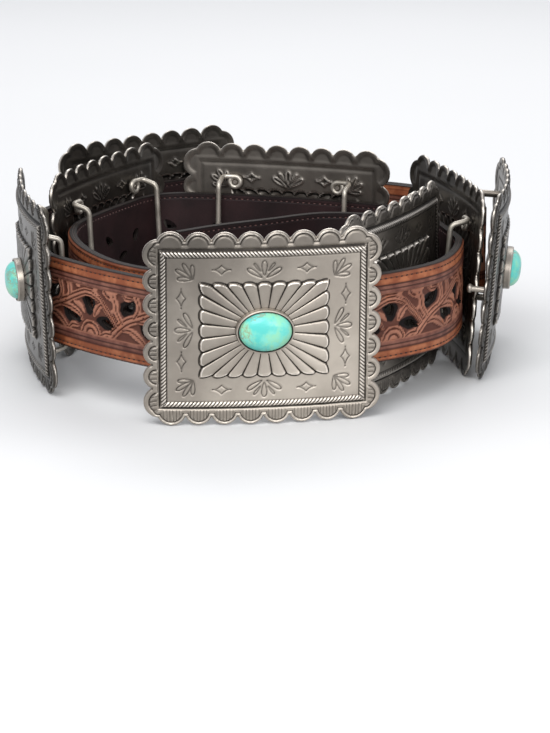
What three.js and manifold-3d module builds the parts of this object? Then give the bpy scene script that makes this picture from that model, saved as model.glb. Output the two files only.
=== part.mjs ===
// Concho belt, coiled in a spiral and standing on the lower edges of its conchos.
// Millimetres, +Z up, the front concho faces -Y, and the floor is z = 0.
import * as THREE from 'three';
import { mergeVertices } from 'three/addons/utils/BufferGeometryUtils.js';
import Module from 'manifold-3d';

const wasm = await Module();
wasm.setup();

// Concho plate
const CONCHO_WIDTH = 100;
const CONCHO_HEIGHT = 83;
const CONCHO_BEND_RADIUS = 260;
const FLANGE_THICKNESS = 1.7;
const SCALLOP_DEPTH = 3.6;
const TOP_SCALLOPS = 8;
const SIDE_SCALLOPS = 7;
const CORNER_INSET = 6;
const CORNER_DROP = 3;
const CORNER_SCALLOP_WIDTH = 11.5;
const CORNER_SCALLOP_HEIGHT = 12.8;
const CROWN_SHARES = [0.27, 0.73];

// Raised work on the plate, heights measured from its flat back
const ROPE_INSET_ACROSS = 7.3;
const ROPE_INSET_UP = 8;
const ROPE_WIDTH = 2.4;
const ROPE_CREST = 3.3;
const PANEL_FRONT = 2.5;
const SUNBURST_LENGTH = 53.8;
const SUNBURST_HEIGHT = 41;
const SUNBURST_TOP = 4.0;
const SUNBURST_SLOPE = 0.9;
const BACK_RECESS_DEPTH = 1.8;
const BEND_SPLITS = 4;

// Bezel and turquoise
const BEZEL_LENGTH = 24;
const BEZEL_HEIGHT = 19;
const BEZEL_TOP = 6.9;
const BEZEL_WALL = 1.0;
const BEZEL_TAPER = 0.3;
const SEAT_FLOOR = 4.4;
const STONE_RISE = 4.2;
const STONE_EDGE_SHARE = 0.2;
const STONE_SHOULDER = { across: 0.7, rise: 0.76 };
const STONE_SIDES = 10;
const GAP = 0.3;

// Wire bails on the back, one near each end of a plate, out at shares of its half width
const WIRE_RADIUS = 1.2;
const WIRE_SIDES = 5;
const EYE_RADIUS = 2.45;
const EYE_START = 315;
const EYE_END = 90;
const EYE_STEPS = 5;
const EYE_SHARE = 0.5;
const BAIL_SHARE = 0.63;
const EYE_CLEARANCE = 1.0;
const RIVET_RADIUS = 0.75;
const RIVET_HEIGHT = 2.6;
const RIVET_SIDES = 5;
const SOLDER_DEPTH = 0.6;

// Strap
const STRAP_HEIGHT = 38;
const STRAP_THICKNESS = 3.6;
const FOLD_THICKNESS = 2.5;
const FOLD_LENGTH = 72;
const FOLD_STEPS = 8;
const FOLD_TURN_STEP = 30;
const FOLD_CLOSES_AT = 0.35;
const FOLD_THICKENS = { from: 0.3, to: 0.7 };
const STRAP_PLAY = 0.8;
const FIELD_HEIGHT = 19;
const STRAP_GAPS = 100;
const PLAIN_TAIL = 16;

// Loop bar and post on the buckle's back
const BAR_RADIUS = 1.6;
const BAR_INSET = 12;
const BAR_DEPTH = 7.5;
const BAR_RISE = 24.5;
const BAR_PLAY = 0.5;
const BAR_SIDES = 8;
const BAR_LEG_SIDES = 6;
const POST_RADIUS = 1.3;
const POST_INSET = 3;
const POST_LENGTH = 8;
const POST_HEAD_RADIUS = 1.9;
const POST_HEAD_LENGTH = 2.2;
const POST_SIDES = 10;

// Coil in plan, in concho widths, since its conchos stand nearly edge to edge
const COIL_WIDTH_RATIO = 2.14;
const COIL_DEPTH_RATIO = 2.14;
const ROUTE_DIVISIONS = 4000;

// Where each plate stands: apex of its back as shares of the coil's width and depth,
// the strap's running direction there and the outward lean of its top, both in degrees
const PLACES = [
  { name: 'buckle', x: 0.4883, y: 0.4860, heading: 85, lean: 5.0 },
  { name: 'concho_back_left', x: -0.2617, y: 0.9159, heading: 216, lean: 3.8 },
  { name: 'concho_left', x: -0.4790, y: 0.3738, heading: 280.3, lean: 2.3 },
  { name: 'concho_front', x: 0.0028, y: -0.0206, heading: 7.7, lean: 2.0 },
  { name: 'concho_right_inner', x: 0.3888, y: 0.5145, heading: 105.8, lean: 4.5 },
  { name: 'concho_back_inner', x: 0.0514, y: 0.7804, heading: 164, lean: 3.0 },
  { name: 'concho_left_inner', x: -0.3411, y: 0.6589, heading: 242.2, lean: 3.0 },
  { name: 'concho_front_inner', x: 0.2729, y: 0.2556, heading: 62.2, lean: -1.0 },
];

// Free points of the strap's route after each plate, as shares of the coil's width and depth
const ROUTE_AFTER = {
  buckle: [{ x: 0.420, y: 0.795 }, { x: 0.300, y: 0.902 }, { x: 0.093, y: 0.958 }],
  concho_back_left: [{ x: -0.472, y: 0.631 }],
  concho_left: [{ x: -0.388, y: 0.180 }, { x: -0.304, y: 0.094 }],
  concho_front: [{ x: 0.262, y: 0.084 }, { x: 0.357, y: 0.180 }],
  concho_right_inner: [{ x: 0.275, y: 0.675 }],
  concho_back_inner: [{ x: -0.178, y: 0.806 }],
  concho_left_inner: [
    { x: -0.393, y: 0.411 }, { x: -0.355, y: 0.271 }, { x: -0.271, y: 0.140 },
    { x: -0.140, y: 0.070 }, { x: 0.037, y: 0.070 },
  ],
  concho_front_inner: [
    { x: 0.322, y: 0.486 }, { x: 0.252, y: 0.579 }, { x: 0.131, y: 0.607 },
    { x: 0.009, y: 0.547 }, { x: -0.103, y: 0.486 }, { x: -0.178, y: 0.430 },
  ],
};

// Gaps cut through the tooled field, one to a cell, in a repeat of four:
// place and length as shares of the cell, height and width as shares of half the field,
// tilt in degrees
const GAP_REPEAT = [
  { along: 0.48, height: 0.46, length: 0.66, width: 0.40, tilt: 32 },
  { along: 0.52, height: -0.44, length: 0.70, width: 0.38, tilt: -24 },
  { along: 0.50, height: 0.30, length: 0.58, width: 0.46, tilt: 118 },
  { along: 0.47, height: -0.50, length: 0.66, width: 0.34, tilt: 158 },
];

// Corners of a gap's leaf shape, as shares of its length and width
const LEAF = [[-0.5, 0], [-0.05, -0.5], [0.42, -0.36], [0.5, 0.3], [0.02, 0.5]];

const rad = THREE.MathUtils.degToRad;
const MAX_LEAN = Math.max(...PLACES.map((place) => Math.abs(place.lean)));
const WIRE_DEPTH = STRAP_THICKNESS + 2 * STRAP_PLAY + STRAP_HEIGHT * Math.sin(rad(MAX_LEAN))
  + WIRE_RADIUS;
const ROPE_LENGTH = CONCHO_WIDTH - 2 * ROPE_INSET_ACROSS;
const ROPE_HEIGHT = CONCHO_HEIGHT - 2 * ROPE_INSET_UP;
const CORNER_SCALLOP_DEPTH = (CORNER_INSET + SCALLOP_DEPTH) / 2;
const EYE_REACH = (EYE_SHARE * CONCHO_WIDTH) / 2;
const BAIL_REACH = (BAIL_SHARE * CONCHO_WIDTH) / 2;
const BAR_REACH = CONCHO_WIDTH / 2 - BAR_INSET;
const POST_REACH = CONCHO_WIDTH / 2 - POST_INSET;
const COIL_WIDTH = COIL_WIDTH_RATIO * CONCHO_WIDTH;
const COIL_DEPTH = COIL_DEPTH_RATIO * CONCHO_WIDTH;
const EYE_RISE = STRAP_HEIGHT / 2 + EYE_RADIUS + WIRE_RADIUS + EYE_CLEARANCE;
const BEZEL_INSIDE_LENGTH = BEZEL_LENGTH - 2 * (BEZEL_WALL + BEZEL_TAPER);
const BEZEL_INSIDE_HEIGHT = BEZEL_HEIGHT - 2 * (BEZEL_WALL + BEZEL_TAPER);

const leather = { color: 0x9a5a38, roughness: 0.6, metalness: 0.0 };
const pewter = { color: 0x9c948a, roughness: 0.38, metalness: 1.0 };
const wireMetal = { color: 0xb4aca2, roughness: 0.3, metalness: 1.0 };
const turquoise = { color: 0x4fd8c8, roughness: 0.25, metalness: 0.0 };

const belt = new THREE.Group();

function addMesh(name, geometry, look) {
  const mesh = new THREE.Mesh(geometry, new THREE.MeshStandardMaterial(look));
  mesh.name = name;
  belt.add(mesh);
  return mesh;
}

// A closed triangle body with only positions and shared corners
function welded(geometry) {
  const bare = geometry.clone();
  bare.deleteAttribute('normal');
  bare.deleteAttribute('uv');
  return mergeVertices(bare, 1e-4);
}

function toSolid(geometry) {
  const bare = welded(geometry);
  const mesh = new wasm.Mesh({
    numProp: 3,
    vertProperties: new Float32Array(bare.attributes.position.array),
    triVerts: new Uint32Array(bare.index.array),
  });
  return new wasm.Manifold(mesh);
}

function fromSolid(solid) {
  const mesh = solid.getMesh();
  const geometry = new THREE.BufferGeometry();
  geometry.setAttribute('position', new THREE.BufferAttribute(mesh.vertProperties, 3));
  geometry.setIndex(new THREE.BufferAttribute(mesh.triVerts, 1));
  geometry.computeVertexNormals();
  return geometry;
}

// Collects triangles given by corner points
class Faces {
  constructor() {
    this.corners = [];
  }

  triangle(a, b, c) {
    this.corners.push(...a, ...b, ...c);
  }

  quad(a, b, c, d) {
    this.triangle(a, b, c);
    this.triangle(a, c, d);
  }

  geometry() {
    const geometry = new THREE.BufferGeometry();
    geometry.setAttribute('position', new THREE.Float32BufferAttribute(this.corners, 3));
    const closed = mergeVertices(geometry, 1e-4);
    closed.computeVertexNormals();
    return closed;
  }
}

// Points of a plate are given as across, up and height over the flat back, then bent to the radius
function bent(across, up, height) {
  const angle = across / CONCHO_BEND_RADIUS;
  const radius = CONCHO_BEND_RADIUS + height;
  return [radius * Math.sin(angle), CONCHO_BEND_RADIUS - radius * Math.cos(angle), up];
}

function counterClockwise(loop) {
  const points = loop.map(([x, y]) => new THREE.Vector2(x, y));
  return THREE.ShapeUtils.isClockWise(points) ? loop.slice().reverse() : loop;
}

// One scallop from a notch to the next, as the notch and two points of its crown
function scallop([x, y, depth], next) {
  const chord = [next[0] - x, next[1] - y];
  const length = Math.hypot(...chord);
  const out = [-chord[1] / length, chord[0] / length];
  const points = [[x, y]];
  for (const share of CROWN_SHARES) {
    points.push([x + chord[0] * share + out[0] * depth, y + chord[1] * share + out[1] * depth]);
  }
  return points;
}

// Scalloped outline, from the top left corner notch round clockwise. A notch holds its place
// and the depth of the scallop that starts there
function conchoOutline() {
  const halfWidth = CONCHO_WIDTH / 2;
  const halfHeight = CONCHO_HEIGHT / 2;
  const corner = [halfWidth - CORNER_INSET, halfHeight - CORNER_DROP];
  const topNotch = halfWidth - CORNER_INSET - CORNER_SCALLOP_WIDTH;
  const sideNotch = halfHeight - CORNER_DROP - CORNER_SCALLOP_HEIGHT;
  const lastTop = TOP_SCALLOPS - 2;
  const lastSide = SIDE_SCALLOPS - 2;
  const top = [[-corner[0], corner[1], SCALLOP_DEPTH]];
  for (let i = 0; i <= lastTop; i += 1) {
    top.push([-topNotch + (2 * topNotch * i) / lastTop, halfHeight - SCALLOP_DEPTH, SCALLOP_DEPTH]);
  }
  const right = [[corner[0], corner[1], CORNER_SCALLOP_DEPTH]];
  for (let i = 0; i <= lastSide; i += 1) {
    const depth = i === lastSide ? CORNER_SCALLOP_DEPTH : SCALLOP_DEPTH;
    right.push([halfWidth - SCALLOP_DEPTH, sideNotch - (2 * sideNotch * i) / lastSide, depth]);
  }
  const turned = (points) => points.map(([x, y, depth]) => [-x, -y, depth]);
  const notches = [...top, ...right, ...turned(top), ...turned(right)];
  return notches.flatMap((notch, i) => scallop(notch, notches[(i + 1) % notches.length]));
}

// A rectangle with its long sides split, so that it follows the bend
function splitRectangle(length, height) {
  const points = [];
  for (const side of [1, -1]) {
    for (let i = 0; i <= BEND_SPLITS; i += 1) {
      points.push([side * ((length * i) / BEND_SPLITS - length / 2), (side * height) / 2]);
    }
  }
  return points;
}

// An oval with a corner at its top, like the stone's
function oval(length, height) {
  const points = [];
  for (let i = 0; i < STONE_SIDES; i += 1) {
    const angle = Math.PI / 2 + (2 * Math.PI * i) / STONE_SIDES;
    points.push([(length / 2) * Math.cos(angle), (height / 2) * Math.sin(angle)]);
  }
  return points;
}

function nearest(points, target) {
  const distances = points.map(([x, y]) => Math.hypot(x - target[0], y - target[1]));
  return distances.indexOf(Math.min(...distances));
}

// Face between two counter-clockwise loops, in strips between the inner loop's corners,
// each strip running out to the nearest corners of the outer loop
function addRing(add, put, outer, inner) {
  const cuts = inner.points.map((point) => nearest(outer.points, point));
  inner.points.forEach((point, j) => {
    const k = (j + 1) % inner.points.length;
    const strip = [];
    const steps = (cuts[k] - cuts[j] + outer.points.length) % outer.points.length;
    for (let i = 0; i <= steps; i += 1) {
      strip.push([outer.points[(cuts[j] + i) % outer.points.length], outer.height]);
    }
    strip.push([inner.points[k], inner.height], [point, inner.height]);
    addCap(add, put, strip);
  });
}

function addCap(add, put, corners) {
  const contour = corners.map(([[x, y]]) => new THREE.Vector2(x, y));
  const placed = corners.map(([point, height]) => put(point, height));
  for (const [a, b, c] of THREE.ShapeUtils.triangulateShape(contour, [])) {
    add(placed[a], placed[b], placed[c]);
  }
}

// Wall between two loops that are the same loop at two heights
function addWall(add, put, outer, inner) {
  outer.points.forEach((point, j) => {
    const k = (j + 1) % outer.points.length;
    const a = put(point, outer.height);
    const b = put(outer.points[k], outer.height);
    const c = put(inner.points[k], inner.height);
    add(a, b, c);
    add(a, c, put(inner.points[j], inner.height));
  });
}

// Stitches loops from the outside in, and closes the last one
function stitchInward(faces, loops, facing) {
  const put = ([across, up], height) => bent(across, up, height);
  const add = (a, b, c) => (facing > 0 ? faces.triangle(a, b, c) : faces.triangle(a, c, b));
  loops.slice(1).forEach((inner, i) => {
    const outer = loops[i];
    const same = outer.points.length === inner.points.length && !inner.turns;
    (same ? addWall : addRing)(add, put, outer, inner);
  });
  const last = loops[loops.length - 1];
  addCap(add, put, last.points.map((point) => [point, last.height]));
}

function plateGeometry() {
  const faces = new Faces();
  const outline = counterClockwise(conchoOutline());
  const rope = (inset) => counterClockwise(
    splitRectangle(ROPE_LENGTH - 2 * inset, ROPE_HEIGHT - 2 * inset),
  );
  const burst = (inset) => counterClockwise(
    splitRectangle(SUNBURST_LENGTH - 2 * inset, SUNBURST_HEIGHT - 2 * inset),
  );
  const bezel = (inset) => counterClockwise(
    oval(BEZEL_LENGTH - 2 * inset, BEZEL_HEIGHT - 2 * inset),
  );
  stitchInward(faces, [
    { points: outline, height: FLANGE_THICKNESS },
    { points: rope(0), height: FLANGE_THICKNESS },
    { points: rope(ROPE_WIDTH / 2), height: ROPE_CREST },
    { points: rope(ROPE_WIDTH), height: PANEL_FRONT },
    { points: burst(0), height: PANEL_FRONT },
    { points: burst(SUNBURST_SLOPE), height: SUNBURST_TOP },
    { points: bezel(0), height: SUNBURST_TOP, turns: true },
    { points: bezel(BEZEL_TAPER), height: BEZEL_TOP },
    { points: bezel(BEZEL_TAPER + BEZEL_WALL), height: BEZEL_TOP },
    { points: bezel(BEZEL_TAPER + BEZEL_WALL), height: SEAT_FLOOR },
  ], 1);
  stitchInward(faces, [
    { points: outline, height: 0 },
    { points: rope(ROPE_WIDTH), height: 0 },
    { points: burst(SUNBURST_SLOPE), height: 0 },
    { points: burst(2 * SUNBURST_SLOPE), height: BACK_RECESS_DEPTH },
  ], -1);
  outline.forEach((point, i) => {
    const next = outline[(i + 1) % outline.length];
    faces.quad(
      bent(...point, 0),
      bent(...next, 0),
      bent(...next, FLANGE_THICKNESS),
      bent(...point, FLANGE_THICKNESS),
    );
  });
  return faces.geometry();
}

// A round bar of few sides between two points in a plate's own frame
function bar(from, to, radius, sides) {
  const start = new THREE.Vector3(...from);
  const end = new THREE.Vector3(...to);
  const geometry = new THREE.CylinderGeometry(radius, radius, start.distanceTo(end), sides);
  const along = end.clone().sub(start).normalize();
  geometry.applyQuaternion(new THREE.Quaternion().setFromUnitVectors(new THREE.Vector3(0, 1, 0), along));
  geometry.translate(...start.clone().add(end).multiplyScalar(0.5).toArray());
  return geometry;
}

// Rivets that hold the bails' eyes, soldered a little way into the plate
function rivets() {
  const bars = [];
  for (const side of [-1, 1]) {
    for (const level of [-1, 1]) {
      const foot = bent(side * EYE_REACH, level * EYE_RISE, SOLDER_DEPTH);
      const tip = bent(side * EYE_REACH, level * EYE_RISE, -RIVET_HEIGHT);
      bars.push(bar(foot, tip, RIVET_RADIUS, RIVET_SIDES));
    }
  }
  return bars;
}

// The buckle's loop bar at the far end, upright whatever the plate's lean, and its post
// with a round head at the near end
function buckleFittings() {
  const bars = [];
  const ends = [-1, 1].map((level) => {
    const depth = BAR_DEPTH + level * BAR_RISE * Math.tan(rad(PLACES[0].lean));
    const foot = bent(BAR_REACH, level * BAR_RISE, SOLDER_DEPTH);
    const tip = bent(BAR_REACH, level * BAR_RISE, -depth - BAR_RADIUS);
    bars.push(bar(foot, tip, BAR_RADIUS, BAR_LEG_SIDES));
    return bent(BAR_REACH, level * BAR_RISE, -depth);
  });
  bars.push(bar(ends[0], ends[1], BAR_RADIUS, BAR_SIDES));
  const foot = bent(-POST_REACH, 0, SOLDER_DEPTH);
  const neck = bent(-POST_REACH, 0, POST_HEAD_LENGTH - POST_LENGTH);
  const tip = bent(-POST_REACH, 0, -POST_LENGTH);
  bars.push(bar(foot, neck, POST_RADIUS, POST_SIDES));
  bars.push(bar(neck, tip, POST_HEAD_RADIUS, POST_SIDES));
  return bars;
}

const conchoBody = toSolid(plateGeometry());

function plateWith(bars) {
  return fromSolid(bars.reduce((solid, piece) => solid.add(toSolid(piece)), conchoBody));
}

// A wire path that keeps its own points as the steps of the sweep
class WirePath extends THREE.Curve {
  constructor(points) {
    super();
    this.points = points.map((p) => new THREE.Vector3(...p));
  }

  getPoint(t) {
    const place = t * (this.points.length - 1);
    const index = Math.min(Math.floor(place), this.points.length - 2);
    return this.points[index].clone().lerp(this.points[index + 1], place - index);
  }

  getPointAt(t) {
    return this.getPoint(t);
  }

  getTangentAt(t) {
    const step = 1 / (3 * (this.points.length - 1));
    const before = this.getPoint(Math.max(0, t - step));
    return this.getPoint(Math.min(1, t + step)).sub(before).normalize();
  }
}

function wire(points, radius, sides) {
  const section = new THREE.Shape();
  for (let i = 0; i < sides; i += 1) {
    const angle = (2 * Math.PI * i) / sides;
    const method = i === 0 ? 'moveTo' : 'lineTo';
    section[method](radius * Math.cos(angle), radius * Math.sin(angle));
  }
  section.closePath();
  const path = new WirePath(points);
  return new THREE.ExtrudeGeometry(section, {
    steps: points.length - 1, extrudePath: path, bevelEnabled: false, curveSegments: 1,
  });
}

// A bail: an open eye round each of two rivets, a leg out of each and the upright between
function bailGeometry(side) {
  const inset = 2 * GAP + WIRE_RADIUS;
  const upper = [];
  for (let i = 0; i <= EYE_STEPS; i += 1) {
    const angle = rad(EYE_START - ((EYE_START - EYE_END) * i) / EYE_STEPS);
    const across = EYE_REACH + EYE_RADIUS * Math.cos(angle);
    upper.push([across, EYE_RISE + EYE_RADIUS * Math.sin(angle), -inset]);
  }
  const bend = EYE_RISE + EYE_RADIUS - WIRE_RADIUS;
  upper.push([BAIL_REACH - WIRE_RADIUS, bend, -inset - WIRE_RADIUS]);
  upper.push([BAIL_REACH, EYE_RISE - WIRE_RADIUS, -WIRE_DEPTH]);
  const lower = upper.map(([across, up, height]) => [across, -up, height]).reverse();
  const points = [...upper, ...lower].map(([across, up, height]) => bent(side * across, up, height));
  return wire(points, WIRE_RADIUS, WIRE_SIDES);
}

// Oval cabochon, its flat base in the bezel and its dome above it
function stoneGeometry() {
  const base = SEAT_FLOOR + GAP;
  const radius = BEZEL_INSIDE_HEIGHT / 2 - GAP;
  const top = BEZEL_TOP + STONE_RISE;
  const profile = [
    [0, base],
    [radius, base],
    [radius, BEZEL_TOP + STONE_EDGE_SHARE * STONE_RISE],
    [STONE_SHOULDER.across * radius, BEZEL_TOP + STONE_SHOULDER.rise * STONE_RISE],
    [0, top],
  ].map(([x, y]) => new THREE.Vector2(x, y));
  const geometry = new THREE.LatheGeometry(profile, STONE_SIDES);
  geometry.rotateX(Math.PI);
  geometry.scale((BEZEL_INSIDE_LENGTH / 2 - GAP) / radius, 1, 1);
  return geometry;
}

// Frame of a plate in plan: apex of the back, running direction and outward direction
function planFrame(place) {
  const heading = rad(place.heading);
  const along = new THREE.Vector2(Math.cos(heading), Math.sin(heading));
  return {
    apex: new THREE.Vector2(place.x * COIL_WIDTH, place.y * COIL_DEPTH),
    along,
    out: new THREE.Vector2(along.y, -along.x),
  };
}

// A point in plan at a distance across the plate and inside its back
function planPoint(place, across, inside) {
  const { apex, along, out } = planFrame(place);
  const [run, sag] = bent(across, 0, -inside);
  return apex.clone().addScaledVector(along, run).addScaledVector(out, -sag);
}

// Stands a piece of a plate in its place: leaned outward, turned and lowered onto the floor
function stand(mesh, place, lift) {
  const { apex } = planFrame(place);
  mesh.rotation.order = 'ZYX';
  mesh.rotation.set(rad(place.lean), 0, rad(place.heading));
  mesh.position.set(apex.x, apex.y, lift);
}

// Height of a plate's centre when its lowest corner is on the floor
function standingLift(place) {
  const lean = new THREE.Matrix4().makeRotationX(rad(place.lean));
  const lowest = conchoOutline().map(([across, up]) => {
    const heights = [0, FLANGE_THICKNESS].map((height) => (
      new THREE.Vector3(...bent(across, up, height)).applyMatrix4(lean).z));
    return Math.min(...heights);
  });
  return -Math.min(...lowest);
}

// Route of the strap's middle line in plan, from the buckle's bar to the tail
function strapRoute() {
  const points = [];
  PLACES.forEach((place) => {
    if (place.name !== 'buckle') {
      const leaning = (STRAP_HEIGHT / 2) * Math.sin(rad(Math.abs(place.lean)));
      const inside = STRAP_PLAY + STRAP_THICKNESS / 2 + leaning;
      for (const share of [-1, -0.5, 0, 0.5, 1]) {
        points.push(planPoint(place, share * (BAIL_REACH + WIRE_RADIUS), inside));
      }
    }
    for (const share of ROUTE_AFTER[place.name]) {
      points.push(new THREE.Vector2(share.x * COIL_WIDTH, share.y * COIL_DEPTH));
    }
  });
  return points;
}

// The fold: the strap's end comes back along the inside, turns round the bar and runs on
function foldPoints(firstFree) {
  const centre = planPoint(PLACES[0], BAR_REACH, BAR_DEPTH);
  const away = firstFree.clone().sub(centre).normalize();
  const out = new THREE.Vector2(away.y, -away.x);
  const radius = BAR_RADIUS + BAR_PLAY + FOLD_THICKNESS / 2;
  const turn = [];
  for (let degrees = -90; degrees <= 90; degrees += FOLD_TURN_STEP) {
    const angle = rad(degrees);
    turn.push(centre.clone()
      .addScaledVector(out, radius * Math.sin(angle))
      .addScaledVector(away, -radius * Math.cos(angle)));
  }
  return { centre, away, out, turn };
}

const route = strapRoute();
const fold = foldPoints(route[0]);
const mainStart = fold.turn[fold.turn.length - 1];
const mainCurve = new THREE.CatmullRomCurve3(
  [mainStart, ...route].map((p) => new THREE.Vector3(p.x, p.y, 0)),
  false,
  'centripetal',
);
mainCurve.arcLengthDivisions = ROUTE_DIVISIONS;
const MAIN_LENGTH = mainCurve.getLength();

function planNormal(tangent) {
  return new THREE.Vector2(tangent.y, -tangent.x).normalize();
}

// Middle point, outward normal and thickness of the main run at a length along it
function mainAt(length) {
  const t = Math.min(1, Math.max(0, length / MAIN_LENGTH));
  const point = mainCurve.getPointAt(t);
  const out = planNormal(mainCurve.getTangentAt(t));
  const { from, to } = FOLD_THICKENS;
  const full = THREE.MathUtils.smoothstep(length, from * FOLD_LENGTH, to * FOLD_LENGTH);
  const thickness = FOLD_THICKNESS + (STRAP_THICKNESS - FOLD_THICKNESS) * full;
  return { point: new THREE.Vector2(point.x, point.y), out, thickness };
}

// The layer that comes back along the inside of the main run
function foldAt(length) {
  const main = mainAt(length);
  const apart = 2 * fold.out.dot(mainStart.clone().sub(fold.centre));
  const close = main.thickness / 2 + FOLD_THICKNESS / 2 + GAP;
  const share = THREE.MathUtils.smoothstep(length, 0, FOLD_CLOSES_AT * FOLD_LENGTH);
  return {
    point: main.point.clone().addScaledVector(main.out, -(apart + (close - apart) * share)),
    out: main.out.clone().negate(),
    thickness: FOLD_THICKNESS,
  };
}

// Cross-sections of the folded end and of the plain run up to the first gap
function plainSections() {
  const sections = [];
  for (let i = FOLD_STEPS; i >= 1; i -= 1) {
    sections.push(foldAt((FOLD_LENGTH * i) / FOLD_STEPS));
  }
  for (const point of fold.turn.slice(1, -1)) {
    const out = point.clone().sub(fold.centre).normalize();
    sections.push({ point, out, thickness: FOLD_THICKNESS });
  }
  for (let i = 0; i <= FOLD_STEPS; i += 1) {
    sections.push(mainAt((FOLD_LENGTH * i) / FOLD_STEPS));
  }
  return sections;
}

const STRAP_BOTTOM = (CONCHO_HEIGHT - STRAP_HEIGHT) / 2;

// A corner of the strap: a cross-section, its outer or inner side, and a height up the strap
function strapPoint(section, side, up) {
  const p = section.point.clone().addScaledVector(section.out, (side * section.thickness) / 2);
  return [p.x, p.y, STRAP_BOTTOM + up];
}

// Upper and lower edge of the strap between two cross-sections
function strapEdges(faces, a, b) {
  for (const [up, first, second] of [[STRAP_HEIGHT, a, b], [0, b, a]]) {
    faces.quad(
      strapPoint(first, 1, up),
      strapPoint(second, 1, up),
      strapPoint(second, -1, up),
      strapPoint(first, -1, up),
    );
  }
}

// A stretch of strap with no gap
function plainStretch(faces, a, b) {
  for (const [side, first, second] of [[1, a, b], [-1, b, a]]) {
    faces.quad(
      strapPoint(first, side, 0),
      strapPoint(second, side, 0),
      strapPoint(second, side, STRAP_HEIGHT),
      strapPoint(first, side, STRAP_HEIGHT),
    );
  }
  strapEdges(faces, a, b);
}

// A cut end of the strap, its outer corner first going up, then back down the inside
function strapEnd(faces, section, atTail) {
  const corners = [[1, 0], [1, STRAP_HEIGHT], [-1, STRAP_HEIGHT], [-1, 0]];
  if (atTail) corners.reverse();
  faces.quad(...corners.map(([side, up]) => strapPoint(section, side, up)));
}

// Corners of one leaf-shaped gap, along and up its cell
function gapOutline(row, cell) {
  const tilt = rad(row.tilt);
  return LEAF.map(([x, y]) => {
    const run = x * row.length * cell;
    const rise = (y * row.width * FIELD_HEIGHT) / 2;
    return [
      row.along * cell + run * Math.cos(tilt) - rise * Math.sin(tilt),
      STRAP_HEIGHT / 2 + (row.height * FIELD_HEIGHT) / 2 + run * Math.sin(tilt) + rise * Math.cos(tilt),
    ];
  });
}

// A stretch of strap between two cross-sections with a gap cut through it
function cutStretch(faces, a, b, start, cell, row) {
  const contour = [[0, 0], [cell, 0], [cell, STRAP_HEIGHT], [0, STRAP_HEIGHT]];
  const gap = gapOutline(row, cell);
  const sections = [a, b, b, a, ...gap.map(([x]) => mainAt(start + x))];
  const ups = [...contour, ...gap].map(([, y]) => y);
  const front = sections.map((section, i) => strapPoint(section, 1, ups[i]));
  const back = sections.map((section, i) => strapPoint(section, -1, ups[i]));
  const vectors = (points) => points.map(([x, y]) => new THREE.Vector2(x, y));
  for (const [i, j, k] of THREE.ShapeUtils.triangulateShape(vectors(contour), [vectors(gap)])) {
    faces.triangle(front[i], front[j], front[k]);
    faces.triangle(back[i], back[k], back[j]);
  }
  gap.forEach((_, i) => {
    const j = contour.length + i;
    const k = contour.length + ((i + 1) % gap.length);
    faces.quad(front[j], front[k], back[k], back[j]);
  });
  strapEdges(faces, a, b);
}

function strapGeometry() {
  const faces = new Faces();
  const plain = plainSections();
  const cell = (MAIN_LENGTH - PLAIN_TAIL - FOLD_LENGTH) / STRAP_GAPS;
  const borders = [plain[plain.length - 1]];
  for (let i = 1; i <= STRAP_GAPS; i += 1) {
    borders.push(mainAt(FOLD_LENGTH + cell * i));
  }
  const tail = mainAt(MAIN_LENGTH);
  for (let i = 0; i + 1 < plain.length; i += 1) {
    plainStretch(faces, plain[i], plain[i + 1]);
  }
  for (let i = 0; i < STRAP_GAPS; i += 1) {
    const row = GAP_REPEAT[i % GAP_REPEAT.length];
    cutStretch(faces, borders[i], borders[i + 1], FOLD_LENGTH + cell * i, cell, row);
  }
  plainStretch(faces, borders[STRAP_GAPS], tail);
  strapEnd(faces, plain[0], false);
  strapEnd(faces, tail, true);
  return faces.geometry();
}

addMesh('strap', strapGeometry(), leather);

PLACES.forEach((place) => {
  const lift = standingLift(place);
  const isBuckle = place.name === 'buckle';
  stand(addMesh(place.name, plateWith(isBuckle ? buckleFittings() : rivets()), pewter), place, lift);
  const short = place.name.replace('concho_', '');
  stand(addMesh(`stone_${short}`, stoneGeometry(), turquoise), place, lift);
  if (!isBuckle) {
    stand(addMesh(`bail_${short}_1`, bailGeometry(-1), wireMetal), place, lift);
    stand(addMesh(`bail_${short}_2`, bailGeometry(1), wireMetal), place, lift);
  }
});

// The origin is under the middle of the whole coil, on the floor
const extent = new THREE.Box3().setFromObject(belt, true);
const middle = extent.getCenter(new THREE.Vector3());
belt.position.set(-middle.x, -middle.y, -extent.min.z);

const group = new THREE.Group();
group.add(belt);

export default group;
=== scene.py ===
import math
from functools import cache
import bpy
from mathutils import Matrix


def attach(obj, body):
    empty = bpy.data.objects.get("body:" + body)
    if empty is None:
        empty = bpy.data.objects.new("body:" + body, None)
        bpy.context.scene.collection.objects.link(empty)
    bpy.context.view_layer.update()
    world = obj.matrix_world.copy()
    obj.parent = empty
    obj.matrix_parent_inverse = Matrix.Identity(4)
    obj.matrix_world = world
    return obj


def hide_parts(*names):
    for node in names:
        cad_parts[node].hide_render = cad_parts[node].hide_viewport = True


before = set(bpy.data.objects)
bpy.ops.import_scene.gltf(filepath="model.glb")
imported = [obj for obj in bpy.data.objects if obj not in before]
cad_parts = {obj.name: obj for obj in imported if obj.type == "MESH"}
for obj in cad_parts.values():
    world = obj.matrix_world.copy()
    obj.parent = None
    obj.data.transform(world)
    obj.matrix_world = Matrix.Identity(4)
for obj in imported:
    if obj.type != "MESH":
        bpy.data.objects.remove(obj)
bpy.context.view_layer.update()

from types import SimpleNamespace
from typing import NamedTuple

import bpy
import numpy as np
from mathutils import Vector

# Sizes are in millimetres, and meshes are written in metres
MM = 0.001
BODY = "root"
FAR = 9.0

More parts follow.
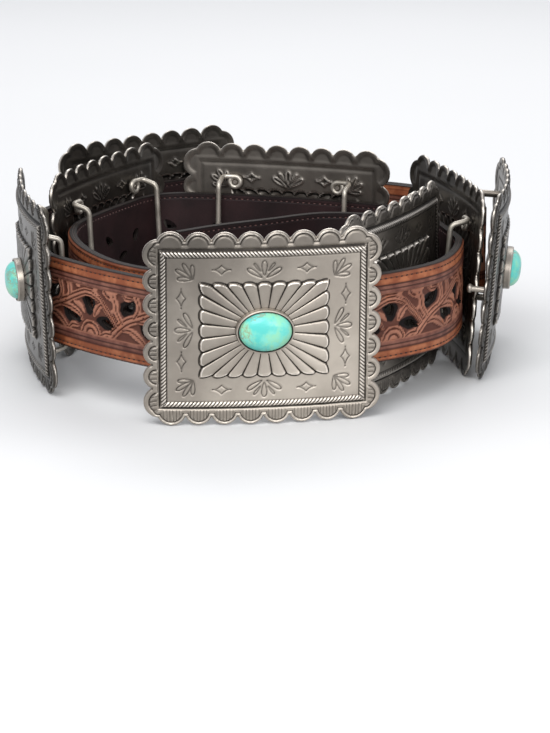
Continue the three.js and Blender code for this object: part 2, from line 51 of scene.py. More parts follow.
# Concho plate, heights measured from its flat back
CONCHO_WIDTH = 100.0
CONCHO_HEIGHT = 83.0
BEND_RADIUS = 260.0
FLANGE = 1.7
SCALLOP_DEPTH = 3.6
TOP_SCALLOPS = 8
SIDE_SCALLOPS = 7
CORNER_INSET = 6.0
CORNER_DROP = 3.0
CORNER_WIDTH = 11.5
CORNER_HEIGHT = 12.8
EDGE_ROUND = 0.3
EDGE_DROP = 0.45
EDGE_LEVEL = 0.42 * FLANGE

# Rim and hatched arch of each scallop
TOP_RIM = 1.5
SIDE_RIM = 2.4
RIM_RISE = 0.2
RIM_GROOVE = 0.3
ARCH_BASE = 1.3
ARCH_RISE = 0.42
SIDE_HATCH = 1.9
SIDE_HATCH_REACH = 1.6 * SIDE_HATCH
LOWER_HATCH = 1.35
HATCH_DEPTH = 0.22

# Rope border and the panel inside it
ROPE_HALF = (41.5, 32.3)
ROPE_RADIUS = 1.2
ROPE_PITCH = 1.55
ROPE_SLANT = 0.9
ROPE_TOP = 3.05
ROPE_SINK = 0.2
TWIST_DEPTH = 0.16
ROPE_MOAT = 0.35
PANEL = 2.5
PANEL_MOAT = 0.3

# Fluted sunburst and stamped lines
BURST_HALF = (26.9, 20.5)
BURST_TOP = 4.0
BURST_CORNER = 4.0
TOP_FLUTES = 7
SIDE_FLUTES = 5
FLUTE_DEPTH = 1.0
TIP_DEPTH = 1.5
TIP_LIP = 0.14
STAMP_DEPTH = 0.34
STAMP_WIDTH = 0.32

# Back of a plate, which shows the relief in reverse
BACK_RECESS = 1.7
BACK_PANEL = 0.3
BACK_FLUTE = 0.7
BACK_STAMP = 0.4
# Strength of the back's cavity marks, which paint highlights as glints on its embossed lines
BACK_CONTRAST = 2.0

# Bezel and stone
BEZEL_HALF = (12.0, 9.5)
BEZEL_TOP = 6.9
BEZEL_WALL = 0.9
BEZEL_FOOT = BURST_TOP - 1.2
STONE_HALF = (10.75, 8.25)
STONE_TOP = 11.05
STONE_SHOULDER = BEZEL_TOP - 0.7
STONE_BASE = 4.7
STONE_RINGS = 14
OVAL_SIDES = 56


class Plate(NamedTuple):
    """Mesh step and darkening of a plate's front and back, partly tarnish and partly painted shade and
    reflection, and how far the painted shade grows up its front.
    """
    steps: tuple
    tarnish: tuple
    shade_climb: float = 0.0


PLATES = {
    "buckle": Plate((0.62, 1.3), (0.92, 0.80)),
    "concho_back_left": Plate((0.75, 0.8), (0.45, 0.84)),
    "concho_left": Plate((0.62, 1.3), (0.88, 0.80)),
    "concho_front": Plate((0.39, 1.3), (0.21, 0.75), 0.30),
    "concho_right_inner": Plate((1.2, 0.65), (0.45, 0.84)),
    "concho_back_inner": Plate((1.2, 0.62), (0.45, 0.68)),
    "concho_left_inner": Plate((1.0, 0.65), (0.45, 0.84)),
    "concho_front_inner": Plate((0.75, 1.3), (0.62, 0.65)),
}
SHADE_CLIMB_SLANT = 0.85
BEZEL_SHARE = 0.45
RIVET_SHARE = 0.5

# Wire bails and rivets
WIRE_RADIUS = 1.2
WIRE_DEPTH = 9.7
WIRE_SIDES = 12
EYE_RADIUS = 2.45
EYE_REACH = 25.0
EYE_RISE = 23.65
EYE_DEPTH = 1.8
EYE_LIFT = 0.35
BAIL_REACH = 31.5
BAIL_SHOULDER = 0.4
BAIL_TURN = 2.4
FILLET = 2.6
FILLET_STEPS = 6
RIVET_RADIUS = 1.15

# Loop bar and post of the buckle, with the level and radius along the post
BAR_RADIUS = 1.6
BAR_REACH = 38.0
BAR_DEPTH = 7.5
BAR_RISE = 24.5
POST_REACH = 47.0
POST_PROFILE = [
    (0.6, 1.3), (-5.2, 1.3), (-5.6, 1.5), (-5.9, 1.85), (-6.6, 2.1), (-7.3, 1.95), (-7.8, 1.3), (-8.0, 0.4),
]

# Strap
STRAP_HEIGHT = 38.0
FOLD_SECTIONS = 12
FIRST_CELL = 21
CELLS = 100
OUTER_CELLS = 56
OUTER_STEPS = 16
INNER_STEPS = 8
PATTERN_CELLS = 4
BAND_EDGE = 14.0
RIDGE_GROOVE = 12.1
FIELD_HALF = 10.2
FIELD_DEPTH = 1.4
GROOVE = 0.32
ARCH_HALF_WIDTH = 1.0
STEM_SWELL = 1.35
LEAF_HATCH = 2.0
GROUND_SHARE = 0.45
BEVEL = 1.1

# Stitches
STITCH_RISE = 16.9
STITCH_PITCH = 2.7
STITCH_LENGTH = 1.4
STITCH_WIDTH = 0.65
STITCH_SINK = 0.2

# Camera, as fitted to the photo
CAMERA_TARGET = (4.4, -104.65, 23.9)
CAMERA_ELEVATION = 15.55
CAMERA_DISTANCE = 1273.0
CAMERA_LENS = 150.0

# Floor, sky and lamps
FLOOR_HALF = 6000.0
SKY_COLOUR = (0.93, 0.95, 1.0, 1)
SKY_STRENGTH = 0.82
LAMP_TARGET = (0, 0, 40)
LAMPS = {
    "key": {"place": (-300, -900, 1150), "size": (900, 900), "power": 17},
    "fill": {"place": (500, -1000, 500), "size": (600, 600), "power": 5},
    "back": {"place": (100, 900, 1000), "size": (1200, 600), "power": 10},
}


def smooth(low, high, value):
    t = np.clip((value - low) / (high - low), 0, 1)
    return t * t * (3 - 2 * t)


def bump(value, centre, width):
    return np.exp(-(((value - centre) / width) ** 2))


# Meshes

def make_object(name, points, triangles, materials, slots=None, values=None, sharp=None):
    mesh = bpy.data.meshes.new(name)
    triangles = np.asarray(triangles, np.int32)
    count = len(triangles)
    mesh.vertices.add(len(points))
    mesh.vertices.foreach_set("co", (np.asarray(points) * MM).astype(np.float32).ravel())
    mesh.loops.add(3 * count)
    mesh.loops.foreach_set("vertex_index", triangles.ravel())
    mesh.polygons.add(count)
    mesh.polygons.foreach_set("loop_start", np.arange(0, 3 * count, 3, dtype=np.int32))
    mesh.polygons.foreach_set("loop_total", np.full(count, 3, np.int32))
    mesh.polygons.foreach_set("use_smooth", np.ones(count, bool))
    if slots is not None:
        mesh.polygons.foreach_set("material_index", np.asarray(slots, np.int32))
    mesh.update(calc_edges=True)
    for key, value in (values or {}).items():
        layer = mesh.attributes.new(key, "FLOAT", "POINT")
        layer.data.foreach_set("value", np.asarray(value, np.float32))
    for material in materials:
        mesh.materials.append(material)
    if sharp:
        mesh.set_sharp_from_angle(angle=math.radians(sharp))
    obj = bpy.data.objects.new(name, mesh)
    bpy.context.scene.collection.objects.link(obj)
    return obj


class Body:
    """Points, triangles, material slots and point values that become one piece."""

    def __init__(self, keys=()):
        self.points = []
        self.triangles = []
        self.slots = []
        self.values = {key: [] for key in keys}
        self.count = 0

    def add(self, points, triangles, slot=0, **values):
        start = self.count
        self.points.append(points)
        for key, rows in self.values.items():
            rows.append(np.broadcast_to(values[key], len(points)))
        self.count += len(points)
        self.join(np.asarray(triangles, int).reshape(-1, 3) + start, slot)
        return start

    def join(self, triangles, slot=0):
        self.triangles.append(triangles)
        self.slots.append(np.full(len(triangles), slot))

    def piece(self, name, materials, sharp=None):
        values = {key: np.concatenate(rows) for key, rows in self.values.items()}
        return make_object(name, np.concatenate(self.points), np.concatenate(self.triangles),
                           materials, np.concatenate(self.slots), values, sharp)


def quads(rows, columns, closed=False):
    """Triangles of a sheet of points, rows by columns, its columns joined round if closed."""
    across = columns if closed else columns - 1
    i, j = np.meshgrid(np.arange(rows - 1), np.arange(across), indexing="ij")
    k = (j + 1) % columns
    a, b, c, d = i * columns + j, i * columns + k, (i + 1) * columns + k, (i + 1) * columns + j
    return np.stack([np.stack([a, b, c], -1), np.stack([a, c, d], -1)], 2).reshape(-1, 3)


def fan(hub, ring, around):
    """Triangles from one point to each edge of a ring."""
    return np.stack([np.full(len(ring), hub), ring, around], 1)


def clip(fields, inside, triangles):
    """The part of a sheet where inside is positive, with its fields at the new corners."""
    keep = inside[triangles] > 0
    edges = []
    faces = []
    for lone in (True, False):
        for corner in range(3):
            chosen = (keep[:, corner] == lone) & (keep.sum(1) == (1 if lone else 2))
            a, b, c = (triangles[chosen, (corner + turn) % 3] for turn in range(3))
            first = len(edges)
            edges += [np.stack([a, b], 1), np.stack([a, c], 1)]
            faces.append((lone, a, b, c, first))
    ends = np.concatenate(edges)
    size = len(inside)
    unique, index = np.unique(ends.min(1) * size + ends.max(1), return_inverse=True)
    low, high = unique // size, unique % size
    share = inside[low] / (inside[low] - inside[high])
    made = {key: np.concatenate([value, value[low] + (value[high] - value[low]) * share])
            for key, value in fields.items()}
    starts = np.cumsum([0] + [len(e) for e in edges])
    cut = [size + index[start:end] for start, end in zip(starts, starts[1:])]
    new = [triangles[keep.all(1)]]
    for lone, a, b, c, first in faces:
        ab, ac = cut[first], cut[first + 1]
        if lone:
            new.append(np.stack([a, ab, ac], 1))
        else:
            new += [np.stack([ab, b, c], 1), np.stack([ab, c, ac], 1)]
    used, flat = np.unique(np.concatenate(new), return_inverse=True)
    return {key: value[used] for key, value in made.items()}, flat.reshape(-1, 3)


def border_edges(triangles):
    """Directed edges that only one triangle has."""
    directed = np.concatenate([triangles[:, [0, 1]], triangles[:, [1, 2]], triangles[:, [2, 0]]])
    size = directed.max() + 1
    keys = directed.min(1) * size + directed.max(1)
    _, index, counts = np.unique(keys, return_inverse=True, return_counts=True)
    return directed[counts[index] == 1]


def border_loop(triangles):
    """The longest closed border of a sheet, in order."""
    after = dict(border_edges(triangles).tolist())
    longest = []
    while after:
        first, point = after.popitem()
        loop = [first]
        while point != first:
            loop.append(point)
            point = after.pop(point)
        if len(loop) > len(longest):
            longest = loop
    return np.array(longest)


def zipper(loop_a, loop_b, places):
    """Triangles between two closed loops that run the same way round."""
    def started(loop):
        p = places[loop]
        first = np.argmin(np.arctan2(p[:, 1] / CONCHO_HEIGHT, p[:, 0] / CONCHO_WIDTH))
        turned = np.append(np.roll(loop, -first), loop[first])
        steps = np.linalg.norm(np.diff(places[turned], axis=0), axis=1)
        return turned, np.append(0, np.cumsum(steps)) / steps.sum()

    a, share_a = started(loop_a)
    b, share_b = started(loop_b)
    i = j = 0
    faces = []
    while i < len(a) - 1 or j < len(b) - 1:
        step_a = j == len(b) - 1 or (i < len(a) - 1 and share_a[i + 1] <= share_b[j + 1])
        if step_a:
            faces.append((a[i], a[i + 1], b[j]))
            i += 1
        else:
            faces.append((a[i], b[j + 1], b[j]))
            j += 1
    return np.array(faces)


def sweep(path, radius, sides):
    """A round tube along points, with flat caps."""
    path = np.asarray(path, float)
    count = len(path)
    tangent = np.gradient(path, axis=0)
    tangent /= np.linalg.norm(tangent, axis=1)[:, None]
    side = np.cross(tangent[0], (0.3, 0.5, 0.8))
    side /= np.linalg.norm(side)
    rings = []
    angle = 2 * np.pi * np.arange(sides) / sides
    for point, along, r in zip(path, tangent, np.broadcast_to(radius, count)):
        side = side - along * (side @ along)
        side /= np.linalg.norm(side)
        other = np.cross(along, side)
        rings.append(point + r * (np.cos(angle)[:, None] * side + np.sin(angle)[:, None] * other))
    points = np.vstack([*rings, path[0], path[-1]])
    hub = count * sides
    ring = np.arange(sides)
    around = (ring + 1) % sides
    last = hub - sides
    caps = [fan(hub, around, ring), fan(hub + 1, last + ring, last + around)]
    return points, np.concatenate([quads(count, sides, True), *caps])


def rounded(points, steps):
    """A smooth curve through points."""
    p = np.asarray(points, float)
    p = np.vstack([2 * p[0] - p[1], p, 2 * p[-1] - p[-2]])
    t = (np.arange(steps) / steps)[:, None]
    parts = []
    for a, b, c, d in zip(p, p[1:], p[2:], p[3:]):
        parts.append(0.5 * (2 * b + (c - a) * t + (2 * a - 5 * b + 4 * c - d) * t ** 2
                            + (3 * b - a - 3 * c + d) * t ** 3))
    return np.vstack([*parts, p[-2]])


def filleted(corners):
    """A path through corners, each inner one rounded off."""
    corners = np.asarray(corners, float)
    t = np.linspace(0, 1, FILLET_STEPS + 1)[:, None]
    parts = [corners[:1]]
    for a, b, c in zip(corners, corners[1:], corners[2:]):
        start = b + (a - b) * min(FILLET / np.linalg.norm(a - b), 0.48)
        end = b + (c - b) * min(FILLET / np.linalg.norm(c - b), 0.48)
        parts.append((1 - t) ** 2 * start + 2 * t * (1 - t) * b + t ** 2 * end)
    return np.vstack([*parts, corners[-1:]])


# Outline of a plate

def notches():
    """Notches of the scalloped outline, each with the depth of the scallop that starts there."""
    half_w, half_h = CONCHO_WIDTH / 2, CONCHO_HEIGHT / 2
    corner = (half_w - CORNER_INSET, half_h - CORNER_DROP)
    corner_depth = (CORNER_INSET + SCALLOP_DEPTH) / 2
    top_x = corner[0] - CORNER_WIDTH
    side_z = corner[1] - CORNER_HEIGHT
    half = [(-corner[0], corner[1], SCALLOP_DEPTH)]
    for x in np.linspace(-top_x, top_x, TOP_SCALLOPS - 1):
        half.append((x, half_h - SCALLOP_DEPTH, SCALLOP_DEPTH))
    half.append((*corner, corner_depth))
    sides = np.linspace(side_z, -side_z, SIDE_SCALLOPS - 1)
    for z in sides:
        depth = corner_depth if z == sides[-1] else SCALLOP_DEPTH
        half.append((half_w - SCALLOP_DEPTH, z, depth))
    return half + [(-x, -z, depth) for x, z, depth in half]


def lobes():
    """Circle of each scallop: centre, radius and the chord's direction."""
    points = notches()
    made = []
    for (ax, az, depth), (bx, bz, _) in zip(points, points[1:] + points[:1]):
        chord = math.hypot(bx - ax, bz - az)
        ux, uz = (bx - ax) / chord, (bz - az) / chord
        radius = (chord ** 2 / 4 + depth ** 2) / (2 * depth)
        back = radius - depth
        made.append(((ax + bx) / 2 + uz * back, (az + bz) / 2 - ux * back, radius, ux, uz))
    return made


def edge_fields(x, z):
    """Distance inside the outline and inside the nearest scallop, and place along its chord."""
    ax, az = np.abs(x), np.abs(z)
    corner = CONCHO_WIDTH / 2 - CORNER_INSET + CONCHO_HEIGHT / 2 - CORNER_DROP
    inner = np.minimum(CONCHO_WIDTH / 2 - SCALLOP_DEPTH - ax, CONCHO_HEIGHT / 2 - SCALLOP_DEPTH - az)
    inner = np.minimum(inner, (corner - 0.2 - ax - az) / math.sqrt(2))
    best = np.full(x.shape, -CONCHO_WIDTH)
    chord = np.zeros(x.shape)
    for cx, cz, radius, ux, uz in lobes():
        inside = radius - np.hypot(x - cx, z - cz)
        nearer = inside > best
        best = np.where(nearer, inside, best)
        chord = np.where(nearer, (x - cx) * ux + (z - cz) * uz, chord)
    return np.maximum(inner, best), best, chord


# Lines of a plate

def flute_wave(x, z):
    """Zero on the grooves between the flutes, one or minus one along a flute's middle."""
    a, b = BURST_HALF
    ratio = np.maximum(np.maximum(np.abs(x) / a, np.abs(z) / b), 1e-6)
    px, pz = np.abs(x / ratio), np.abs(z / ratio)
    half_top, half_side = a - BURST_CORNER, b - BURST_CORNER
    top = TOP_FLUTES / 2 * px / half_top
    side = (TOP_FLUTES + SIDE_FLUTES) / 2 + 1 - SIDE_FLUTES / 2 * pz / half_side
    corner = TOP_FLUTES / 2 + (px - half_top + b - pz) / (2 * BURST_CORNER)
    return np.cos(np.pi * np.where(px <= half_top, top, np.where(pz <= half_side, side, corner)))


def petal(x, z, length, width, angle):
    """Outline of a stamped petal that starts at a point and points along an angle."""
    t = np.linspace(0, 2 * np.pi, 15)
    along = length * (0.5 - 0.5 * np.cos(t))
    across = 0.5 * width * np.sin(t) * (0.35 + 0.65 * np.sin(t / 2) ** 2)
    ca, sa = math.cos(math.radians(angle)), math.sin(math.radians(angle))
    return np.stack([x + along * ca - across * sa, z + along * sa + across * ca], 1)


def star(x, z, half_x, half_z):
    """A diamond with hollow sides, and a dash off each of its long tips."""
    corners = [(-half_x, 0), (0, half_z), (half_x, 0), (0, -half_z), (-half_x, 0)]
    points = []
    for (ax, az), (bx, bz) in zip(corners, corners[1:]):
        for t in (0.0, 0.33, 0.67):
            hollow = 1 - 0.7 * t * (1 - t)
            points.append((x + (ax + (bx - ax) * t) * hollow, z + (az + (bz - az) * t) * hollow))
    points.append((x - half_x, z))
    lines = [np.array(points)]
    for side in (-1, 1):
        ends = [side * max(half_x, half_z) * share for share in (1.1, 1.32)]
        lines.append(np.array([(x + end, z) if half_x > half_z else (x, z + end) for end in ends]))
    return lines


def stamps():
    """Stamped lines in the quarter with x and z positive; the others mirror them."""
    a, b = BURST_HALF
    lines = [*star(17.6, 25.8, 2.9, 1.9), *star(34.1, 13.6, 1.9, 3.3)]
    foot_z, foot_x = b + 1.7, a + 2.6
    lines += [petal(0, foot_z + 0.9, 6.2, 3.0, 90), petal(1.0, foot_z, 7.2, 2.5, 33)]
    lines += [petal(1.6, foot_z + 2.6, 4.4, 1.3, 52), petal(foot_x + 0.9, 0, 6.4, 3.0, 0)]
    lines += [petal(foot_x, 0.9, 7.4, 2.5, 62), petal(foot_x + 2.4, 1.5, 4.8, 1.3, 42)]
    for angle, reach in ((2, 6.4), (31, 8.2), (59, 8.0), (88, 6.2)):
        lines.append(petal(a + 2.4, b + 1.3, reach, 2.3, angle))
    return lines


def line_distance(x, z, lines):
    """Distance to the nearest of some lines."""
    best = np.full(x.shape, FAR)
    for line in lines:
        for (ax, az), (bx, bz) in zip(line, line[1:]):
            dx, dz = bx - ax, bz - az
            t = np.clip(((x - ax) * dx + (z - az) * dz) / (dx * dx + dz * dz), 0, 1)
            best = np.minimum(best, np.hypot(x - ax - t * dx, z - az - t * dz))
    return best


# Relief of a plate

def plate_fields(x, z):
    """Distances and phases on a plate, which its relief and the metal's shader read."""
    edge, lobe, chord = edge_fields(x, z)
    ax, az = np.abs(x), np.abs(z)
    sideways = ax - ROPE_HALF[0] - az + ROPE_HALF[1]
    on_side = sideways > 0
    rope_out = np.maximum(ax - ROPE_HALF[0], az - ROPE_HALF[1])
    base_line = rope_out - ROPE_RADIUS - ARCH_BASE
    rim = TOP_RIM + (SIDE_RIM - TOP_RIM) * smooth(-2.0, 2.0, sideways)
    hatch = np.cos(2 * np.pi * chord / np.where(on_side, SIDE_HATCH, LOWER_HATCH))
    unhatched = np.where(on_side, np.abs(chord) > SIDE_HATCH_REACH, z > 0)
    wave = flute_wave(x, z)
    burst = np.minimum(BURST_HALF[0] - ax, BURST_HALF[1] - az)
    stamp = np.full(x.shape, FAR)
    near = (rope_out < -1.6) & (burst < 0)
    stamp[near] = line_distance(ax[near], az[near], stamps())
    return SimpleNamespace(
        x=x, z=z, edge=edge, rim=rim, base_line=base_line, arch=np.minimum(lobe - rim, base_line),
        hatch=np.where(unhatched, 1.0, hatch), rope_out=rope_out, rope_along=np.where(on_side, z, x),
        wave=wave, burst=burst, tips=burst - TIP_DEPTH * (1 - np.abs(wave)) ** 1.6,
        spread=np.clip(np.hypot(ax, az) / BURST_HALF[0], 0.35, 1), stamp=stamp,
    )


def flange_height(f):
    """The scalloped flange, with a rim and a raised arch on each scallop."""
    height = FLANGE - EDGE_DROP * (1 - smooth(0, 0.9, f.edge))
    height = height + RIM_RISE * smooth(0.2, 0.9, f.edge) * smooth(0, -0.5, f.edge - f.rim)
    height = height - RIM_GROOVE * bump(f.edge, f.rim, 0.35)
    height = height + smooth(0, 0.9, f.arch) * (ARCH_RISE - HATCH_DEPTH * (f.hatch < -0.35))
    height = height - ROPE_MOAT * bump(f.rope_out, ROPE_RADIUS + 0.65, 0.28)
    return height + 0.2 * bump(f.base_line, 0.25, 0.3)


def rope_height(f, round_share):
    """The twisted rope, from the flange on its outside to the panel on its inside."""
    twist = np.cos(2 * np.pi * (f.rope_along + ROPE_SLANT * f.rope_out) / ROPE_PITCH)
    foot = np.where(f.rope_out < 0, PANEL, FLANGE) - ROPE_SINK
    return foot + (ROPE_TOP - foot) * round_share + TWIST_DEPTH * twist * round_share


def front_height(f):
    round_share = np.sqrt(np.clip(1 - (f.rope_out / ROPE_RADIUS) ** 2, 0, 1))
    panel = PANEL - PANEL_MOAT + PANEL_MOAT * smooth(0, 0.5, -f.rope_out - ROPE_RADIUS)
    height = np.where(f.rope_out < -ROPE_RADIUS, panel, flange_height(f))
    height = np.where(round_share > 0, rope_height(f, round_share), height)
    wave = np.abs(f.wave)
    groove = 0.7 * (1 - smooth(0, 0.36, wave)) + 0.3 * (1 - wave)
    flutes = BURST_TOP - FLUTE_DEPTH * f.spread * groove + TIP_LIP * bump(f.tips, 0.9, 0.5)
    height = np.where(f.burst > -0.1, height + smooth(0, 0.8, f.tips) * (flutes - PANEL), height)
    return height - STAMP_DEPTH * bump(f.stamp, 0, STAMP_WIDTH) + 0.05 * bump(f.stamp, 0.8, 0.4)


def back_height(f):
    """How far the back lies in front of the plate's flat base."""
    height = BACK_PANEL - BACK_PANEL * smooth(3.0, 1.0, f.edge) + 0.12 * smooth(-0.2, 0.8, f.arch)
    height = height + 0.25 * bump(f.rope_out, 0, 0.9) - BACK_STAMP * bump(f.stamp, 0, 0.5)
    hollow = BACK_RECESS - BACK_FLUTE * (1 - np.abs(f.wave) ** 0.75) * f.spread
    return np.where(f.burst > -0.1, height + smooth(0, 0.9, f.tips) * (hollow - BACK_PANEL), height)


def blurred(height):
    padded = np.pad(height, 1, mode="edge")
    rows, columns = height.shape
    return sum(padded[i:i + rows, j:j + columns] for i in range(3) for j in range(3)) / 9


@cache
def plate_sheet(step, side):
    """One face of a plate as clipped points and triangles, its cavities measured on the way."""
    rows, columns = int(CONCHO_HEIGHT / step) + 3, int(CONCHO_WIDTH / step) + 3
    xs = (np.arange(columns) - (columns - 1) / 2) * step
    zs = (np.arange(rows) - (rows - 1) / 2) * step
    f = plate_fields(*np.meshgrid(xs, zs))
    f.height = front_height(f) if side == "front" else back_height(f)
    around = f.height
    for _ in range(max(1, round(0.7 / step))):
        around = blurred(around)
    f.cavity = (1 if side == "front" else -BACK_CONTRAST) * (around - f.height)
    flat = {key: value.ravel() for key, value in vars(f).items()}
    return clip(flat, flat["edge"] - EDGE_ROUND, quads(rows, columns))


class Place:
    """Where a plate stands, read from the flat base of its stone."""

    def __init__(self, stone):
        facing = {}
        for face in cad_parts[stone].data.polygons:
            key = tuple(round(n, 2) for n in face.normal)
            total = facing.setdefault(key, [0.0, Vector(), Vector()])
            total[0] += face.area
            total[1] += face.normal * face.area
            total[2] += face.center * face.area
        area, normal, centre = max(facing.values(), key=lambda total: total[0])
        self.out = -np.array(normal.normalized())
        heading = math.atan2(self.out[0], -self.out[1])
        self.lean = -math.asin(self.out[2])
        self.across = np.array((math.cos(heading), math.sin(heading), 0))
        self.up = np.array((math.sin(self.lean) * math.sin(heading),
                            -math.sin(self.lean) * math.cos(heading), math.cos(self.lean)))
        self.origin = np.array(centre / area) / MM - self.out * STONE_BASE

    def put(self, across, up, height):
        """Bends points of the flat plate to its radius and stands them in place."""
        across, up, height = np.broadcast_arrays(across, up, height)
        angle = across / BEND_RADIUS
        radius = BEND_RADIUS + height
        run = radius * np.sin(angle)
        sag = BEND_RADIUS - radius * np.cos(angle)
        return (self.origin + run[..., None] * self.across - sag[..., None] * self.out
                + up[..., None] * self.up)

    def put_path(self, path):
        return self.put(*np.asarray(path, float).T)


# Values that the metal's shader reads at each point, and what they are off the relief
PLAIN = {
    "rope_out": FAR, "rope_along": 0.0, "burst": -FAR, "arch": -FAR, "stamp": FAR, "hatch": 1.0, "wave": 1.0,
}
SHEET_KEYS = ("cavity", *PLAIN)
PLATE_KEYS = (*SHEET_KEYS, "tarnish")


def plate_body(place, row):
    body = Body(PLATE_KEYS)
    loops = []
    places = []
    for side, step, tarnish in zip(("front", "back"), row.steps, row.tarnish):
        fields, faces = plate_sheet(step, side)
        values = {key: fields[key] for key in SHEET_KEYS}
        loops.append(border_loop(faces) + body.count)
        places.append(np.stack([fields["x"], fields["z"]], 1))
        if side == "front":
            # Painted shade: the front grows darker towards its top and left, standing in for the reflection
            # there
            shade_climb = fields["z"] / CONCHO_HEIGHT - SHADE_CLIMB_SLANT * fields["x"] / CONCHO_WIDTH
            tarnish = tarnish + 2 * row.shade_climb * shade_climb
        else:
            faces = faces[:, ::-1]
            values.update({key: PLAIN[key] for key in ("rope_out", "arch", "hatch", "stamp")})
        body.add(place.put(fields["x"], fields["z"], fields["height"]), faces, tarnish=tarnish, **values)
    add_edge(body, place, loops, np.concatenate(places), row.tarnish[0])
    return body


def add_edge(body, place, loops, places, tarnish):
    """A rounded edge between the borders of the front and the back."""
    front, back = loops
    ring = places[front]
    tangent = np.roll(ring, -1, 0) - np.roll(ring, 1, 0)
    out = np.stack([tangent[:, 1], -tangent[:, 0]], 1)
    rim = ring + out / np.linalg.norm(out, axis=1)[:, None] * EDGE_ROUND
    middle = body.count + np.arange(len(rim))
    # A cavity of -0.3 lightens the rounded edge: real wear and a painted highlight
    body.add(place.put(rim[:, 0], rim[:, 1], EDGE_LEVEL), [], cavity=-0.3, tarnish=tarnish, **PLAIN)
    around = np.roll(middle, -1)
    body.join(np.stack([front, middle, around], 1))
    body.join(np.stack([front, around, np.roll(front, -1)], 1))
    body.join(zipper(middle, back, np.concatenate([places, rim]))[:, ::-1])


def oval_rings(place, rows):
    """Rings of points round an oval, one for each row of half width, half height and level."""
    angle = 2 * np.pi * np.arange(OVAL_SIDES) / OVAL_SIDES
    return np.concatenate([place.put(a * np.cos(angle), b * np.sin(angle), level) for a, b, level in rows])


class Ring(NamedTuple):
    """One ring of the bezel's section, with how hollow its metal looks: a positive cavity darkens it as in
    the hollows, a negative one lightens its top as wear and a painted highlight.
    """
    inset: float
    level: float
    cavity: float


BEZEL_RINGS = [
    Ring(0.0, BEZEL_FOOT, 0.3),
    Ring(-0.25, BURST_TOP - 0.1, 0.2),
    Ring(0.05, BURST_TOP + 0.3, 0.0),
    Ring(0.1, BEZEL_TOP - 0.9, -0.12),
    Ring(0.2, BEZEL_TOP - 0.25, -0.2),
    Ring(0.5, BEZEL_TOP, -0.02),
    Ring(BEZEL_WALL + 0.1, BEZEL_TOP - 0.15, 0.3),
    Ring(BEZEL_WALL + 0.2, BEZEL_TOP - 0.6, 0.3),
    Ring(BEZEL_WALL + 0.2, BEZEL_FOOT, 0.3),
]


def add_bezel(body, place, tarnish):
    a, b = BEZEL_HALF
    points = oval_rings(place, [(a - ring.inset, b - ring.inset, ring.level) for ring in BEZEL_RINGS])
    faces = quads(len(BEZEL_RINGS) + 1, OVAL_SIDES, True) % len(points)
    cavity = np.repeat([ring.cavity for ring in BEZEL_RINGS], OVAL_SIDES)
    body.add(points, faces, cavity=cavity, tarnish=tarnish, **PLAIN)


def stone_body(place):
    """A domed oval stone with a flat base."""
    a, b = STONE_HALF
    rows = [(a, b, STONE_BASE)]
    for turn in np.arange(STONE_RINGS) / STONE_RINGS * np.pi / 2:
        share = math.cos(turn) ** 0.72
        level = STONE_SHOULDER + (STONE_TOP - STONE_SHOULDER) * math.sin(turn) ** 1.15
        rows.append((share * a, share * b, level))
    rings = oval_rings(place, rows)
    body = Body()
    body.add(np.vstack([rings, place.put(0.0, 0.0, STONE_TOP), place.put(0.0, 0.0, STONE_BASE)]),
             quads(len(rows), OVAL_SIDES, True))
    hub = len(rings)
    ring = np.arange(OVAL_SIDES)
    around = (ring + 1) % OVAL_SIDES
    body.join(fan(hub, hub - OVAL_SIDES + ring, hub - OVAL_SIDES + around))
    body.join(fan(hub + 1, around, ring))
    return body


# Wires and fittings behind a plate

def bail_path(side):
    """From the eye round the upper rivet to the eye round the lower one."""
    degrees = np.linspace(430, 90, 30)
    angle = np.radians(degrees)
    eye = np.stack([EYE_REACH + EYE_RADIUS * np.cos(angle), EYE_RISE + EYE_RADIUS * np.sin(angle),
                    EYE_LIFT * smooth(330, 430, degrees) - EYE_DEPTH], 1)
    top = EYE_RISE + EYE_RADIUS
    corners = [(EYE_REACH, top, -EYE_DEPTH), (BAIL_REACH - BAIL_SHOULDER, top, -EYE_DEPTH),
               (BAIL_REACH, top - BAIL_TURN, -WIRE_DEPTH), (BAIL_REACH, 0.0, -WIRE_DEPTH)]
    upper = np.vstack([eye[:-1], filleted(corners)])
    path = np.vstack([upper, (upper * (1, -1, 1))[-2::-1]])
    return path * (side, 1, 1)


def add_turned(body, place, across, up, rows, sides, tarnish):
    """A turned pin at a place on the plate, from rows of level and radius."""
    path = [(across, up, level) for level, _ in rows]
    points, faces = sweep(place.put_path(path), [radius for _, radius in rows], sides)
    body.add(points, faces, cavity=-0.1, tarnish=tarnish, **PLAIN)


def add_rivets(body, place, tarnish):
    r = RIVET_RADIUS
    rows = [(0.5, r), (-2.3, r), (-2.7, 0.85 * r), (-2.75, 0.55 * r), (-2.35, 0.45 * r), (-2.3, 0.02)]
    for side in (-1, 1):
        for level in (-1, 1):
            add_turned(body, place, side * EYE_REACH, level * EYE_RISE, rows, 14, tarnish)


def add_buckle_fittings(body, place):
    """The loop bar, upright behind the leaning plate, and the post with its round head."""
    def bar_end(level):
        rise = level * BAR_RISE
        depth = BAR_DEPTH + rise * math.tan(place.lean)
        return [(BAR_REACH, rise, 0.6), (BAR_REACH, rise, 1.5 - depth),
                (BAR_REACH, rise - 0.5 * level, 0.2 - depth), (BAR_REACH, rise - 2.0 * level, -depth)]

    path = [*bar_end(-1), (BAR_REACH, 0.0, -BAR_DEPTH), *bar_end(1)[::-1]]
    points, faces = sweep(place.put_path(rounded(path, 5)), BAR_RADIUS, 14)
    body.add(points, faces, cavity=-0.1, tarnish=0.4, **PLAIN)
    add_turned(body, place, -POST_REACH, 0.0, POST_PROFILE, 18, 0.3)


# Tooling of the strap

class Gap(NamedTuple):
    """A gap between the scrolls: place and length in cells, height and width in millimetres."""
    along: float
    height: float
    length: float
    width: float
    tilt: float


